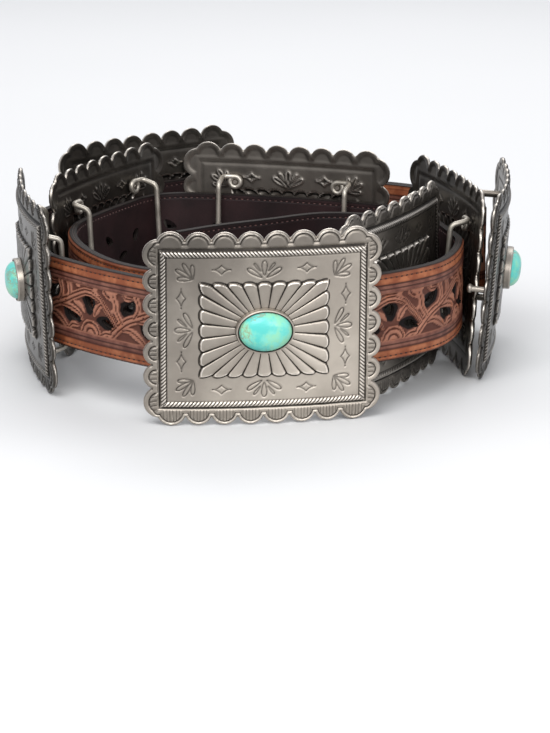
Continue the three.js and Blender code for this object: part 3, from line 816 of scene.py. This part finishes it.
# One gap to a cell in a repeat of four, as the CAD strap has them
GAPS = [
    Gap(0.48, 4.37, 0.66, 3.8, 32),
    Gap(0.52, -4.18, 0.70, 3.6, -24),
    Gap(0.50, 2.85, 0.58, 4.4, 118),
    Gap(0.47, -4.75, 0.66, 3.2, 158),
]


class Stem(NamedTuple):
    """A tooled stem or hatched leaf: points as cells along and millimetres up from the middle,
    half widths at both ends, and the number of grooves along it."""
    path: list
    start: float
    end: float
    grooves: int = 1
    leaf: bool = True


STEMS = [
    Stem([(-0.40, -10.2), (0.00, -5.6), (0.50, -1.4), (1.15, 1.5), (1.80, 5.0), (2.45, 7.7),
          (3.05, 6.2), (3.38, 2.6), (3.72, -1.2), (4.02, -5.2)], 1.9, 1.2, grooves=2, leaf=False),
    Stem([(0.26, -3.2), (-0.02, 1.5), (-0.10, 5.5), (-0.28, 10.2)], 1.1, 1.5, leaf=False),
    Stem([(0.72, -0.6), (0.98, 3.0), (1.05, 6.0), (0.92, 10.2)], 1.0, 1.3, leaf=False),
    Stem([(1.25, 1.8), (1.50, 5.0), (1.46, 10.2)], 1.0, 1.5, leaf=False),
    Stem([(0.85, -0.6), (1.45, -0.5), (2.00, -2.2), (2.18, -4.8)], 0.8, 1.2),
    Stem([(0.25, -5.6), (0.62, -5.2), (1.00, -7.2), (1.30, -9.6)], 1.0, 1.5),
    Stem([(1.75, 2.0), (2.10, 1.2), (2.30, -1.4)], 0.9, 0.9, grooves=0),
    Stem([(3.20, 3.6), (2.98, 1.0), (2.86, -1.6)], 1.0, 1.3),
    Stem([(3.72, 1.4), (3.98, 3.6), (4.02, 6.6)], 0.9, 0.8, grooves=0),
    Stem([(1.40, -10.2), (1.66, -7.9), (2.02, -8.3)], 0.9, 0.9),
    Stem([(3.12, -10.2), (3.42, -8.6), (3.90, -8.7)], 0.9, 0.8),
    Stem([(0.22, 10.2), (0.46, 8.4), (0.78, 8.8)], 0.8, 0.8),
    Stem([(3.00, 10.2), (2.86, 8.6), (3.06, 7.4)], 0.9, 0.8, grooves=0),
]

# Concentric arches that stand on the lower ridge or hang from the upper one
ARCHES = [
    {"cell": 2.64, "side": -1, "radii": (6.3, 3.9, 1.4)},
    {"cell": 3.64, "side": 1, "radii": (4.2, 1.8)},
    {"cell": 1.98, "side": 1, "radii": (1.6,)},
]


def from_centre(run, cell, place):
    """Millimetres along the strap from a place in the nearest repeat, given in cells."""
    period = PATTERN_CELLS * cell
    return (run - place * cell + period / 2) % period - period / 2


def gap_field(run, up, cell):
    """Negative inside a gap, about in millimetres; run is in millimetres from the repeat's start."""
    best = np.full(run.shape, FAR)
    for index, gap in enumerate(GAPS):
        a = math.radians(gap.tilt)
        dx = from_centre(run, cell, index + gap.along)
        dz = up - gap.height
        x = (dx * math.cos(a) + dz * math.sin(a)) / (gap.length * cell / 2)
        z = (-dx * math.sin(a) + dz * math.cos(a)) / (gap.width / 2)
        z = z - 0.35 * (x * x - 0.4)
        reach = (np.abs(x) ** 2.0 + np.abs(z) ** (1.6 + 0.5 * np.clip(x, -1, 1))) ** 0.5
        best = np.minimum(best, (reach - 1) * gap.width / 2)
    return best


def stem_height(run, up, cell, stem):
    """Leather left standing by one stem, from none to full, with its grooves cut in."""
    path = rounded([(along * cell, rise) for along, rise in stem.path], 6)
    lengths = np.append(0, np.cumsum(np.linalg.norm(np.diff(path, axis=0), axis=1)))
    best = np.full(run.shape, 10 * FAR)
    place = np.zeros(run.shape)
    for shift in (-PATTERN_CELLS * cell, 0.0, PATTERN_CELLS * cell):
        for (ax, az), (bx, bz), start, end in zip(path, path[1:], lengths, lengths[1:]):
            dx, dz = bx - ax, bz - az
            px, pz = run - ax - shift, up - az
            t = np.clip((px * dx + pz * dz) / (dx * dx + dz * dz), 0, 1)
            distance = np.hypot(px - t * dx, pz - t * dz)
            place = np.where(distance < best, start + (end - start) * t, place)
            best = np.minimum(best, distance)
    share = place / lengths[-1]
    half = STEM_SWELL * (stem.start + (stem.end - stem.start) * share)
    if stem.leaf:
        half = half * (0.55 + 0.75 * np.sin(np.pi * np.clip(share, 0.08, 0.97)))
    height = smooth(0.45, -0.45, best - half)
    if stem.grooves == 2:
        height = height - 0.6 * bump(best, 0.42 * half, GROOVE)
    if stem.grooves == 1:
        height = height - 0.55 * bump(best, 0, GROOVE)
    if stem.leaf:
        hatch = smooth(-0.5, 1, np.cos(2 * np.pi * place / LEAF_HATCH))
        height = height - 0.14 * hatch * smooth(0.3, 0.6, best / half)
    return np.clip(height, 0, 1), best / half


def arch_height(run, up, cell, arch):
    dx = from_centre(run, cell, arch["cell"])
    distance = np.hypot(dx, up - arch["side"] * (FIELD_HALF + 0.3))
    outermost = arch["radii"][0]
    inner = smooth(outermost + 0.3, outermost, distance)
    height = 0.45 * inner
    for radius in arch["radii"]:
        height = np.maximum(height, smooth(0.2, -0.4, np.abs(distance - radius) - ARCH_HALF_WIDTH))
    return height, inner


def scrolls(run, up, cell):
    """Leather left standing in the field, from none to full."""
    total = np.zeros(run.shape)
    nearest = np.full(run.shape, 10 * FAR)
    for stem in STEMS:
        height, nearness = stem_height(run, up, cell, stem)
        total = np.where(nearness < np.minimum(nearest, 1.15), height, total)
        nearest = np.minimum(nearest, nearness)
    for arch in ARCHES:
        height, inner = arch_height(run, up, cell, arch)
        clear = (inner > 0.5) & (nearest > 1.05)
        total = np.where(clear, height, np.maximum(total, height * inner))
    return total


def strap_relief(run, up, cell):
    """Height of the tooled face below the leather's surface, its gaps and what stands in its field."""
    rise = np.abs(up)
    gap = gap_field(run, up, cell)
    carved = np.maximum(scrolls(run, up, cell), GROUND_SHARE * smooth(0.5, 1.5, gap))
    field = -FIELD_DEPTH * (1 - carved)
    border = 0.2 - 0.8 * bump(rise, BAND_EDGE, 0.5) - 0.3 * bump(rise, RIDGE_GROOVE, 0.45)
    border = border - 0.5 * smooth(FIELD_HALF + 0.7, FIELD_HALF, rise)
    bevel = smooth(STRAP_HEIGHT / 2 - BEVEL, STRAP_HEIGHT / 2, rise)
    band = 0.15 - 0.9 * bevel - 0.35 * bump(rise, STITCH_RISE, 0.4)
    height = np.where(rise < BAND_EDGE, border, band)
    mix = smooth(FIELD_HALF - 0.5, FIELD_HALF, rise)
    height = np.where(rise < FIELD_HALF, field * (1 - mix) + mix * border, height)
    return height, gap, np.where(rise < FIELD_HALF, carved, 1.0)


# Strap

def strap_sections():
    """Middle, outward normal and thickness at each cross-section, read from the CAD strap's lower edge."""
    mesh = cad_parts["strap"].data
    co = np.array([v.co for v in mesh.vertices]) / MM
    keys, index = np.unique(np.round(co, 3), axis=0, return_inverse=True)
    index = index.ravel()
    bottom = keys[:, 2].min()
    faces = []
    for face in mesh.polygons:
        corners = index[list(face.vertices)]
        if (keys[corners, 2] < bottom + 0.01).all():
            faces += [(corners[0], b, c) for b, c in zip(corners[1:], corners[2:])]
    ring = keys[border_loop(np.array(faces))][:, :2]
    ahead = np.roll(ring, -1, 0) - ring
    heading = np.arctan2(ahead[:, 1], ahead[:, 0])
    turn = np.abs((heading - np.roll(heading, 1) + np.pi) % (2 * np.pi) - np.pi)
    ends = np.flatnonzero((turn > 1.3) & (np.roll(turn, -1) > 1.3))
    lengths = np.linalg.norm(ahead, axis=1)
    tail = max(ends, key=lambda i: lengths[i])
    ring = np.roll(ring, -(tail + 1), 0)
    half = len(ring) // 2
    one, other = ring[:half][::-1], ring[half:]
    if np.linalg.norm(one[0] - other[0]) > 5:
        raise SystemExit("the strap's cross-sections don't pair up")
    middle = (one + other) / 2
    step = np.gradient(middle, axis=0)
    normal = np.stack([step[:, 1], -step[:, 0]], 1)
    if np.sign(np.sum((one - other) * normal, axis=1)).sum() < 0:
        one, other = other, one
    out = one - other
    thickness = np.linalg.norm(out, axis=1)
    return middle, out / thickness[:, None], thickness, bottom


def along_sections(values, places):
    """Smooth values between sections: each cubic runs through its two sections."""
    slope = np.gradient(values, axis=0)
    i = np.clip(places.astype(int), 0, len(values) - 2)
    t = places - i
    if values.ndim > 1:
        t = t[:, None]
    a, b, m, n = values[i], values[i + 1], slope[i], slope[i + 1]
    return ((2 * t ** 3 - 3 * t ** 2 + 1) * a + (t ** 3 - 2 * t ** 2 + t) * m
            + (3 * t ** 2 - 2 * t ** 3) * b + (t ** 3 - t ** 2) * n)


def strap_columns(total):
    """Places along the strap, in sections, of the mesh's columns: fine on the outer turn."""
    plain = np.linspace(0, FIRST_CELL, 150, endpoint=False)
    outer = FIRST_CELL + np.arange(OUTER_CELLS * OUTER_STEPS) / OUTER_STEPS
    inner = FIRST_CELL + OUTER_CELLS + np.arange((CELLS - OUTER_CELLS) * INNER_STEPS) / INNER_STEPS
    tail = np.linspace(FIRST_CELL + CELLS, total - 1, 16)
    return np.concatenate([plain, outer, inner, tail])


def strap_rows():
    """Heights of the mesh's rows from the middle: close together at each groove."""
    edge = STRAP_HEIGHT / 2 - np.array([0, 0.35, 1.0])
    stitch = STITCH_RISE + np.array([0.4, 0, -0.4])
    band = BAND_EDGE + np.array([1.0, 0.5, 0.25, 0, -0.4])
    ridge = RIDGE_GROOVE + np.array([0.5, 0, -0.5])
    field = np.append(FIELD_HALF + np.array([0.7, 0.35]), np.linspace(FIELD_HALF, 0, 19))
    upper = np.concatenate([edge, stitch, band, ridge, field])
    return np.concatenate([-upper, upper[::-1][1:]])


def strap_line():
    """The strap's course at each column of its mesh."""
    middle, out, thickness, bottom = strap_sections()
    columns = strap_columns(len(middle))
    centre = along_sections(middle, columns)
    normal = along_sections(out, columns)
    normal /= np.linalg.norm(normal, axis=1)[:, None]
    return SimpleNamespace(
        columns=columns, centre=centre, normal=normal, thick=along_sections(thickness, columns),
        run=np.append(0, np.cumsum(np.linalg.norm(np.diff(centre, axis=0), axis=1))),
        level=bottom + STRAP_HEIGHT / 2,
    )


def strap_pieces(leathers, threads):
    line = strap_line()
    columns, rows = line.columns, strap_rows()
    first, last = np.searchsorted(columns, (FIRST_CELL, FIRST_CELL + CELLS))
    cell = (line.run[last] - line.run[first]) / CELLS
    places, index = np.unique(np.round((columns - FIRST_CELL) % PATTERN_CELLS, 6), return_inverse=True)
    r, u = np.meshgrid(places * cell, rows, indexing="ij")
    height, gap, carved = (field[index.ravel()] for field in strap_relief(r, u, cell))
    pierced = (columns >= FIRST_CELL) & (columns <= FIRST_CELL + CELLS)
    tooled = smooth(0, 3, columns - FOLD_SECTIONS)
    fields = {
        "cx": line.centre[:, :1], "cy": line.centre[:, 1:], "nx": line.normal[:, :1],
        "ny": line.normal[:, 1:], "thick": line.thick[:, None], "rise": rows[None, :],
        "depth": -height * tooled[:, None], "carved": carved, "gap": np.where(pierced[:, None], gap, FAR),
    }
    cuts = [FIRST_CELL + share * OUTER_CELLS for share in (0.5, 1.0)]
    ends = [0, *np.searchsorted(columns, cuts), len(columns) - 1]
    pieces = []
    for name, first, last in zip(("strap_front", "strap_side", "strap_inner"), ends, ends[1:]):
        part = {key: np.broadcast_to(value, gap.shape)[first:last + 1].ravel()
                for key, value in fields.items()}
        part, faces = clip(part, part["gap"], quads(last - first + 1, len(rows))[:, ::-1])
        pieces.append(strap_piece(name, part, faces, line.level, leathers))
    return pieces + stitch_pieces(line, threads)


def strap_piece(name, part, faces, level, leathers):
    """The tooled face, the lining and the cut edges of one stretch of the strap."""
    body = Body(("rise", "depth", "carved", "layer"))
    half = part["thick"] / 2
    sides = []
    for slot, offset in ((0, half - part["depth"] * 0.9), (1, -half)):
        points = np.stack([part["cx"] + part["nx"] * offset, part["cy"] + part["ny"] * offset,
                           level + part["rise"]], 1)
        values = {key: part[key] for key in ("rise", "depth", "carved")}
        sides.append(body.add(points, faces[:, ::-1] if slot else faces, slot, layer=float(slot), **values))
    front, back = sides
    a, b = border_edges(faces).T
    body.join(np.stack([front + b, front + a, back + a], 1), 2)
    body.join(np.stack([front + b, back + a, back + b], 1), 2)
    return body.piece(name, leathers, 48)


def stitch_shape():
    """Corners of one stitch as along, up and out, its pointed ends first, and its faces."""
    corners = [(-STITCH_LENGTH / 2, 0, -STITCH_SINK), (STITCH_LENGTH / 2, 0, -STITCH_SINK)]
    for place in (-0.3, 0.3):
        for angle in np.arange(4) * math.pi / 2:
            corners.append((place * STITCH_LENGTH, STITCH_WIDTH / 2 * math.cos(angle),
                            STITCH_WIDTH / 2 * math.sin(angle)))
    faces = []
    for k in range(4):
        j = (k + 1) % 4
        faces += [(0, 2 + j, 2 + k), (1, 6 + k, 6 + j), (2 + k, 2 + j, 6 + j), (2 + k, 6 + j, 6 + k)]
    return corners, np.array(faces)


def stitch_pieces(line, threads):
    """Two rows of thread on each face, every stitch a small bar with pointed ends."""
    first = line.run[np.searchsorted(line.columns, FOLD_SECTIONS + 2)]
    starts = np.arange(first, line.run[-1] - STITCH_PITCH, STITCH_PITCH)
    mid_x, mid_y, out_x, out_y, half = (
        np.interp(starts, line.run, values) for values in (*line.centre.T, *line.normal.T, line.thick / 2))
    corners, faces = stitch_shape()
    shift = len(corners) * np.arange(len(starts))[:, None, None]
    made = []
    for name, side, thread, sink in (("thread_outside", 1, threads[0], 0.12),
                                     ("thread_inside", -1, threads[1], -0.02)):
        body = Body()
        for level in (-1, 1):
            points = []
            for along, up, out in corners:
                reach = side * (half - sink + out)
                points.append(np.stack([mid_x - out_y * along + out_x * reach,
                                        mid_y + out_x * along + out_y * reach,
                                        np.full(len(starts), line.level + level * STITCH_RISE + up)], 1))
            body.add(np.stack(points, 1).reshape(-1, 3), faces[:, ::side][None] + shift)
        made.append(body.piece(name, [thread]))
    return made


# Materials

class Nodes:
    """Builds a material's nodes, one short call each."""

    def __init__(self, name):
        self.material = bpy.data.materials.new(name)
        self.material.use_nodes = True
        self.tree = self.material.node_tree
        self.shader = self.tree.nodes["Principled BSDF"]

    def node(self, kind, **settings):
        made = self.tree.nodes.new(kind)
        for key, value in settings.items():
            setattr(made, key, value)
        return made

    def link(self, source, target):
        if isinstance(source, (int, float, tuple)):
            target.default_value = source
        else:
            self.tree.links.new(source, target)

    def math(self, operation, a, b=0.0, clamp=False):
        made = self.node("ShaderNodeMath", operation=operation, use_clamp=clamp)
        self.link(a, made.inputs[0])
        self.link(b, made.inputs[1])
        return made.outputs[0]

    def plus(self, a, b):
        return self.math("ADD", a, b)

    def minus(self, a, b):
        return self.math("SUBTRACT", a, b)

    def times(self, a, b):
        return self.math("MULTIPLY", a, b)

    def larger(self, a, b):
        return self.math("MAXIMUM", a, b)

    def absolute(self, a):
        return self.math("ABSOLUTE", a)

    def value(self, name):
        return self.node("ShaderNodeAttribute", attribute_name=name).outputs["Fac"]

    def ramp(self, value, low, high):
        made = self.node("ShaderNodeMapRange", interpolation_type="SMOOTHSTEP")
        self.link(value, made.inputs[0])
        made.inputs[1].default_value = low
        made.inputs[2].default_value = high
        return made.outputs[0]

    def near(self, value, centre, outer, inner):
        """One close to a place and nothing further away."""
        return self.ramp(self.absolute(self.minus(value, centre)), outer, inner)

    def mix(self, share, a, b):
        made = self.node("ShaderNodeMix", data_type="RGBA")
        self.link(share, made.inputs[0])
        self.link(a, made.inputs[6])
        self.link(b, made.inputs[7])
        return made.outputs[2]

    def blend(self, value, low, high, start, end):
        """From one colour to another as a value goes from low to high."""
        return self.mix(self.ramp(value, low, high), colour(start), colour(end))

    def tint(self, base, mask, share, code):
        """A share of another colour over the base where the mask is one."""
        return self.mix(self.times(mask, share), base, colour(code))

    def noise(self, scale, detail=4.0, rough=0.55, stretch=None):
        place = self.node("ShaderNodeTexCoord").outputs["Object"]
        if stretch:
            mapping = self.node("ShaderNodeMapping")
            mapping.inputs["Scale"].default_value = stretch
            self.link(place, mapping.inputs[0])
            place = mapping.outputs[0]
        made = self.node("ShaderNodeTexNoise")
        self.link(place, made.inputs["Vector"])
        made.inputs["Scale"].default_value = scale
        made.inputs["Detail"].default_value = detail
        made.inputs["Roughness"].default_value = rough
        return made.outputs["Fac"]

    def bump(self, height, distance, strength):
        made = self.node("ShaderNodeBump")
        made.inputs["Distance"].default_value = distance
        made.inputs["Strength"].default_value = strength
        self.link(height, made.inputs["Height"])
        self.link(made.outputs[0], self.shader.inputs["Normal"])

    def set(self, **settings):
        for key, value in settings.items():
            self.link(value, self.shader.inputs[key.replace("_", " ")])
        return self.material


def colour(code):
    """A linear colour from a hexadecimal sRGB one."""
    parts = [int(code[i:i + 2], 16) / 255 for i in (0, 2, 4)]
    return tuple(p / 12.92 if p <= 0.04045 else ((p + 0.055) / 1.055) ** 2.4 for p in parts) + (1.0,)


def metal():
    """Antiqued metal: patina in its hollows, worn bright on its edges with a painted highlight there and on
    the rope's twists, and darkened as each plate says, partly tarnish and partly painted shade.
    """
    n = Nodes("pewter")
    cavity = n.value("cavity")
    broad = n.noise(34.0, 5.0)
    smoke = n.minus(n.noise(90.0, 4.0), 0.5)
    tarnish = n.math("ADD", n.value("tarnish"), n.times(smoke, 0.3), clamp=True)
    # Darkens towards 2a2826: partly real tarnish, partly painted shade and painted reflection on the backs,
    # the side plates, the buckle and the top of the front plate
    base = n.mix(tarnish, n.blend(broad, 0.35, 0.7, "aca398", "c0b7ab"), colour("2a2826"))
    rope_out = n.value("rope_out")
    off_rope = n.absolute(rope_out)
    phase = n.plus(n.value("rope_along"), n.times(rope_out, ROPE_SLANT))
    twist = n.math("COSINE", n.times(phase, 2 * math.pi / ROPE_PITCH))
    rope_dark = n.times(n.ramp(off_rope, 1.35, 1.0), n.ramp(twist, -0.1, -0.85))
    # Painted highlight on the crest of each twist of the rope
    rope_highlight = n.times(n.ramp(off_rope, 1.15, 0.75), n.ramp(twist, -0.1, 0.6))
    in_burst = n.ramp(n.value("burst"), 0.2, 0.9)
    groove = n.times(in_burst, n.ramp(n.absolute(n.value("wave")), 0.24, 0.05))
    in_arch = n.ramp(n.value("arch"), 0.0, 0.4)
    hatch = n.times(in_arch, n.ramp(n.value("hatch"), -0.35, -0.9))
    stamp = n.ramp(n.value("stamp"), 0.45, 0.1)
    hollow = n.ramp(n.plus(cavity, n.times(smoke, 0.12)), 0.02, 0.2)
    dark = n.larger(hollow, groove)
    for extra, share in ((rope_dark, 0.85), (hatch, 0.7), (stamp, 0.6), (in_arch, 0.3)):
        dark = n.larger(dark, n.times(extra, share))
    patina = n.tint(base, dark, 0.9, "1f1c1a")
    # Raised edges and rope twists lightened towards eee6dc: partly real wear, partly a painted highlight
    crest = n.larger(n.ramp(cavity, -0.09, -0.33), n.times(rope_highlight, 0.85))
    wear_and_highlight = n.times(crest, n.minus(0.95, n.times(tarnish, 0.6)))
    rough = n.plus(n.plus(0.42, n.times(dark, 0.25)), n.times(broad, 0.12))
    rough = n.minus(rough, n.times(tarnish, 0.18))
    depth = n.plus(n.times(n.noise(900.0, 3.0, 0.7), 0.05), n.times(rope_dark, -0.5))
    depth = n.minus(n.minus(depth, n.times(groove, 0.5)), n.times(hatch, 0.35))
    n.bump(depth, 0.0005, 0.8)
    return n.set(Base_Color=n.mix(wear_and_highlight, patina, colour("eee6dc")), Metallic=0.94, Roughness=rough)


def wire_metal():
    n = Nodes("wire")
    broad = n.noise(160.0, 4.0)
    base = n.blend(broad, 0.3, 0.75, "bcb5aa", "8a847a")
    n.bump(n.noise(260.0, 2.0), 0.00002, 0.4)
    return n.set(Base_Color=base, Metallic=0.8, Roughness=n.plus(0.36, n.times(broad, 0.12)))


def turquoise():
    """Cyan stone with green clouds and tan matrix."""
    n = Nodes("turquoise")
    cloud = n.noise(85.0, 5.0, 0.6)
    mottle = n.noise(210.0, 5.0, 0.65)
    base = n.blend(cloud, 0.4, 0.6, "4bb9b0", "70c6b6")
    green = n.times(n.ramp(mottle, 0.44, 0.58), n.ramp(cloud, 0.4, 0.55))
    base = n.tint(base, green, 0.75, "86c49c")
    vein = n.near(n.noise(120.0, 7.0, 0.62), 0.5, 0.035, 0.0)
    matrix = n.times(vein, n.ramp(n.noise(70.0, 2.0), 0.40, 0.54))
    base = n.tint(base, matrix, 0.7, "8c7f5c")
    n.bump(n.minus(n.times(mottle, 0.2), matrix), 0.0001, 0.6)
    return n.set(Base_Color=base, Roughness=0.4, Coat_Weight=0.25, Coat_Roughness=0.15)


def tooled_leather():
    """Tan bands, brown ridges and scrolls, and a background painted near-black down to the gaps, partly dark
    ground and partly painted shade of the gaps.
    """
    n = Nodes("tooled_leather")
    rise = n.absolute(n.value("rise"))
    broad = n.noise(55.0, 5.0)
    patch = n.noise(160.0, 4.0)
    band = n.blend(patch, 0.35, 0.7, "784027", "9c6040")
    band = n.tint(band, n.ramp(rise, 17.4, 18.4), 0.55, "4b2213")
    band = n.tint(band, n.ramp(rise, 15.3, 14.1), 0.5, "5a2712")
    brown = n.blend(broad, 0.38, 0.62, "7d5140", "946450")
    brown = n.tint(brown, n.ramp(patch, 0.55, 0.75), 0.5, "a8623a")
    ridge = n.blend(patch, 0.3, 0.7, "553027", "7a5042")
    brown = n.mix(n.ramp(rise, FIELD_HALF, FIELD_HALF + 0.4), brown, ridge)
    brown = n.tint(brown, n.ramp(n.value("depth"), 0.06, 0.6), 0.85, "3a150c")
    # Painted shade: the carved ground near the gaps goes near-black 060404, as the dark ground and the shade
    # inside the gaps
    dark_ground_and_shade = n.ramp(n.value("carved"), 0.45, 0.2)
    brown = n.tint(brown, dark_ground_and_shade, 0.97, "060404")
    base = n.mix(n.ramp(rise, BAND_EDGE - 0.1, BAND_EDGE + 0.25), brown, band)
    line = n.larger(n.near(rise, BAND_EDGE, 0.6, 0.15), n.near(rise, RIDGE_GROOVE, 0.5, 0.15))
    base = n.tint(base, line, 0.8, "2a0e07")
    base = n.tint(base, n.near(rise, STITCH_RISE, 0.55, 0.2), 0.45, "4a1d0e")
    base = n.tint(base, n.ramp(rise, 18.4, 18.8), 0.95, "171212")
    n.bump(n.times(n.noise(1500.0, 4.0, 0.7), 0.14), 0.0004, 0.7)
    rough = n.plus(n.times(dark_ground_and_shade, 0.35), n.plus(0.47, n.times(broad, 0.2)))
    return n.set(Base_Color=base, Roughness=rough, Specular_IOR_Level=0.25)


def lining_leather():
    n = Nodes("lining_leather")
    rise = n.absolute(n.value("rise"))
    broad = n.noise(45.0, 5.0)
    sewn = n.near(rise, STITCH_RISE, 0.7, 0.3)
    base = n.tint(n.blend(broad, 0.3, 0.7, "180e0f", "281718"), sewn, 0.5, "150b0b")
    base = n.tint(base, n.ramp(rise, 18.3, 18.7), 0.9, "151111")
    n.bump(n.minus(n.times(n.noise(1100.0, 4.0, 0.7), 0.15), n.times(sewn, 0.4)), 0.0004, 0.7)
    rough = n.plus(0.45, n.times(broad, 0.2))
    return n.set(Base_Color=base, Roughness=rough, Specular_IOR_Level=0.25)


def painted_edge():
    """Dark edge paint, with the leather's layers showing through as lines."""
    n = Nodes("painted_edge")
    broad = n.noise(160.0, 4.0)
    layer = n.value("layer")
    lines = n.larger(n.near(layer, 0.4, 0.1, 0.03), n.near(layer, 0.72, 0.07, 0.02))
    base = n.tint(n.blend(broad, 0.35, 0.7, "0d0a09", "1d1816"), lines, 0.45, "4a3d37")
    n.bump(n.plus(n.times(n.noise(700.0, 4.0), 0.5), lines), 0.0002, 0.7)
    rough = n.plus(0.5, n.times(broad, 0.25))
    return n.set(Base_Color=base, Roughness=rough, Specular_IOR_Level=0.15)


def thread(name, light, dark):
    n = Nodes(name)
    twist = n.noise(1800.0, 3.0, 0.6, (1, 1, 2.5))
    n.bump(twist, 0.0001, 0.6)
    return n.set(Base_Color=n.blend(twist, 0.35, 0.65, dark, light),
                 Roughness=n.plus(0.6, n.times(twist, 0.2)))


def floor_material():
    n = Nodes("floor")
    base = n.mix(n.noise(3.0, 2.0), colour("c4c4c4"), colour("c8c8c8"))
    return n.set(Base_Color=base, Roughness=0.75, Specular_IOR_Level=0.1)


# Pieces

def finish_piece(piece, node):
    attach(piece, BODY)
    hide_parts(node)


def build_bails(short, place, wire):
    for index, side in ((1, -1), (2, 1)):
        bail = Body()
        bail.add(*sweep(place.put_path(bail_path(side)), WIRE_RADIUS, WIRE_SIDES))
        node = f"bail_{short}_{index}"
        finish_piece(bail.piece(f"{node}_dressed", [wire], 60), node)


def build_plates(pewter, wire, stone_material):
    for name, row in PLATES.items():
        short = name.replace("concho_", "")
        place = Place(f"stone_{short}")
        body = plate_body(place, row)
        front_tarnish_and_shade, back_tarnish_and_shade = row.tarnish
        add_bezel(body, place, front_tarnish_and_shade * BEZEL_SHARE)
        if name == "buckle":
            add_buckle_fittings(body, place)
        else:
            add_rivets(body, place, back_tarnish_and_shade * RIVET_SHARE)
        finish_piece(body.piece(f"{name}_dressed", [pewter], 60), name)
        stone = stone_body(place).piece(f"stone_{short}_dressed", [stone_material])
        finish_piece(stone, f"stone_{short}")
        if name != "buckle":
            build_bails(short, place, wire)


def build_strap():
    threads = [thread("brown_thread", "341710", "1c0b07"), thread("maroon_thread", "5a3a36", "2c1a19")]
    leathers = [tooled_leather(), lining_leather(), painted_edge()]
    for piece in strap_pieces(leathers, threads):
        finish_piece(piece, "strap")


# Stage

def area_light(name, place, size, power):
    light = bpy.data.lights.new(name, "AREA")
    light.shape = "RECTANGLE"
    light.size, light.size_y = size[0] * MM, size[1] * MM
    light.energy = power
    lamp = bpy.data.objects.new(name, light)
    lamp.location = Vector(place) * MM
    lamp.rotation_euler = (Vector(LAMP_TARGET) - Vector(place)).to_track_quat("-Z", "Y").to_euler()
    bpy.context.scene.collection.objects.link(lamp)


def build_stage():
    half = FLOOR_HALF
    points = [(-half, -half, 0), (half, -half, 0), (half, half, 0), (-half, half, 0)]
    floor = make_object("floor", points, [(0, 1, 2), (0, 2, 3)], [floor_material()])
    world = bpy.data.worlds.new("studio")
    world.use_nodes = True
    background = world.node_tree.nodes["Background"]
    background.inputs["Color"].default_value = SKY_COLOUR
    background.inputs["Strength"].default_value = SKY_STRENGTH
    bpy.context.scene.world = world
    for name, row in LAMPS.items():
        area_light(name, **row)
    bpy.context.scene.view_settings.view_transform = "Standard"


def build_camera():
    data = bpy.data.cameras.new("camera")
    data.lens = CAMERA_LENS
    data.clip_start, data.clip_end = 0.05, 20
    camera = bpy.data.objects.new("camera", data)
    rise = math.radians(CAMERA_ELEVATION)
    target = Vector(CAMERA_TARGET)
    place = target + CAMERA_DISTANCE * Vector((0, -math.cos(rise), math.sin(rise)))
    camera.location = place * MM
    camera.rotation_euler = (target - place).to_track_quat("-Z", "Y").to_euler()
    bpy.context.scene.collection.objects.link(camera)
    bpy.context.scene.camera = camera


build_camera()
build_stage()
build_plates(metal(), wire_metal(), turquoise())
build_strap()
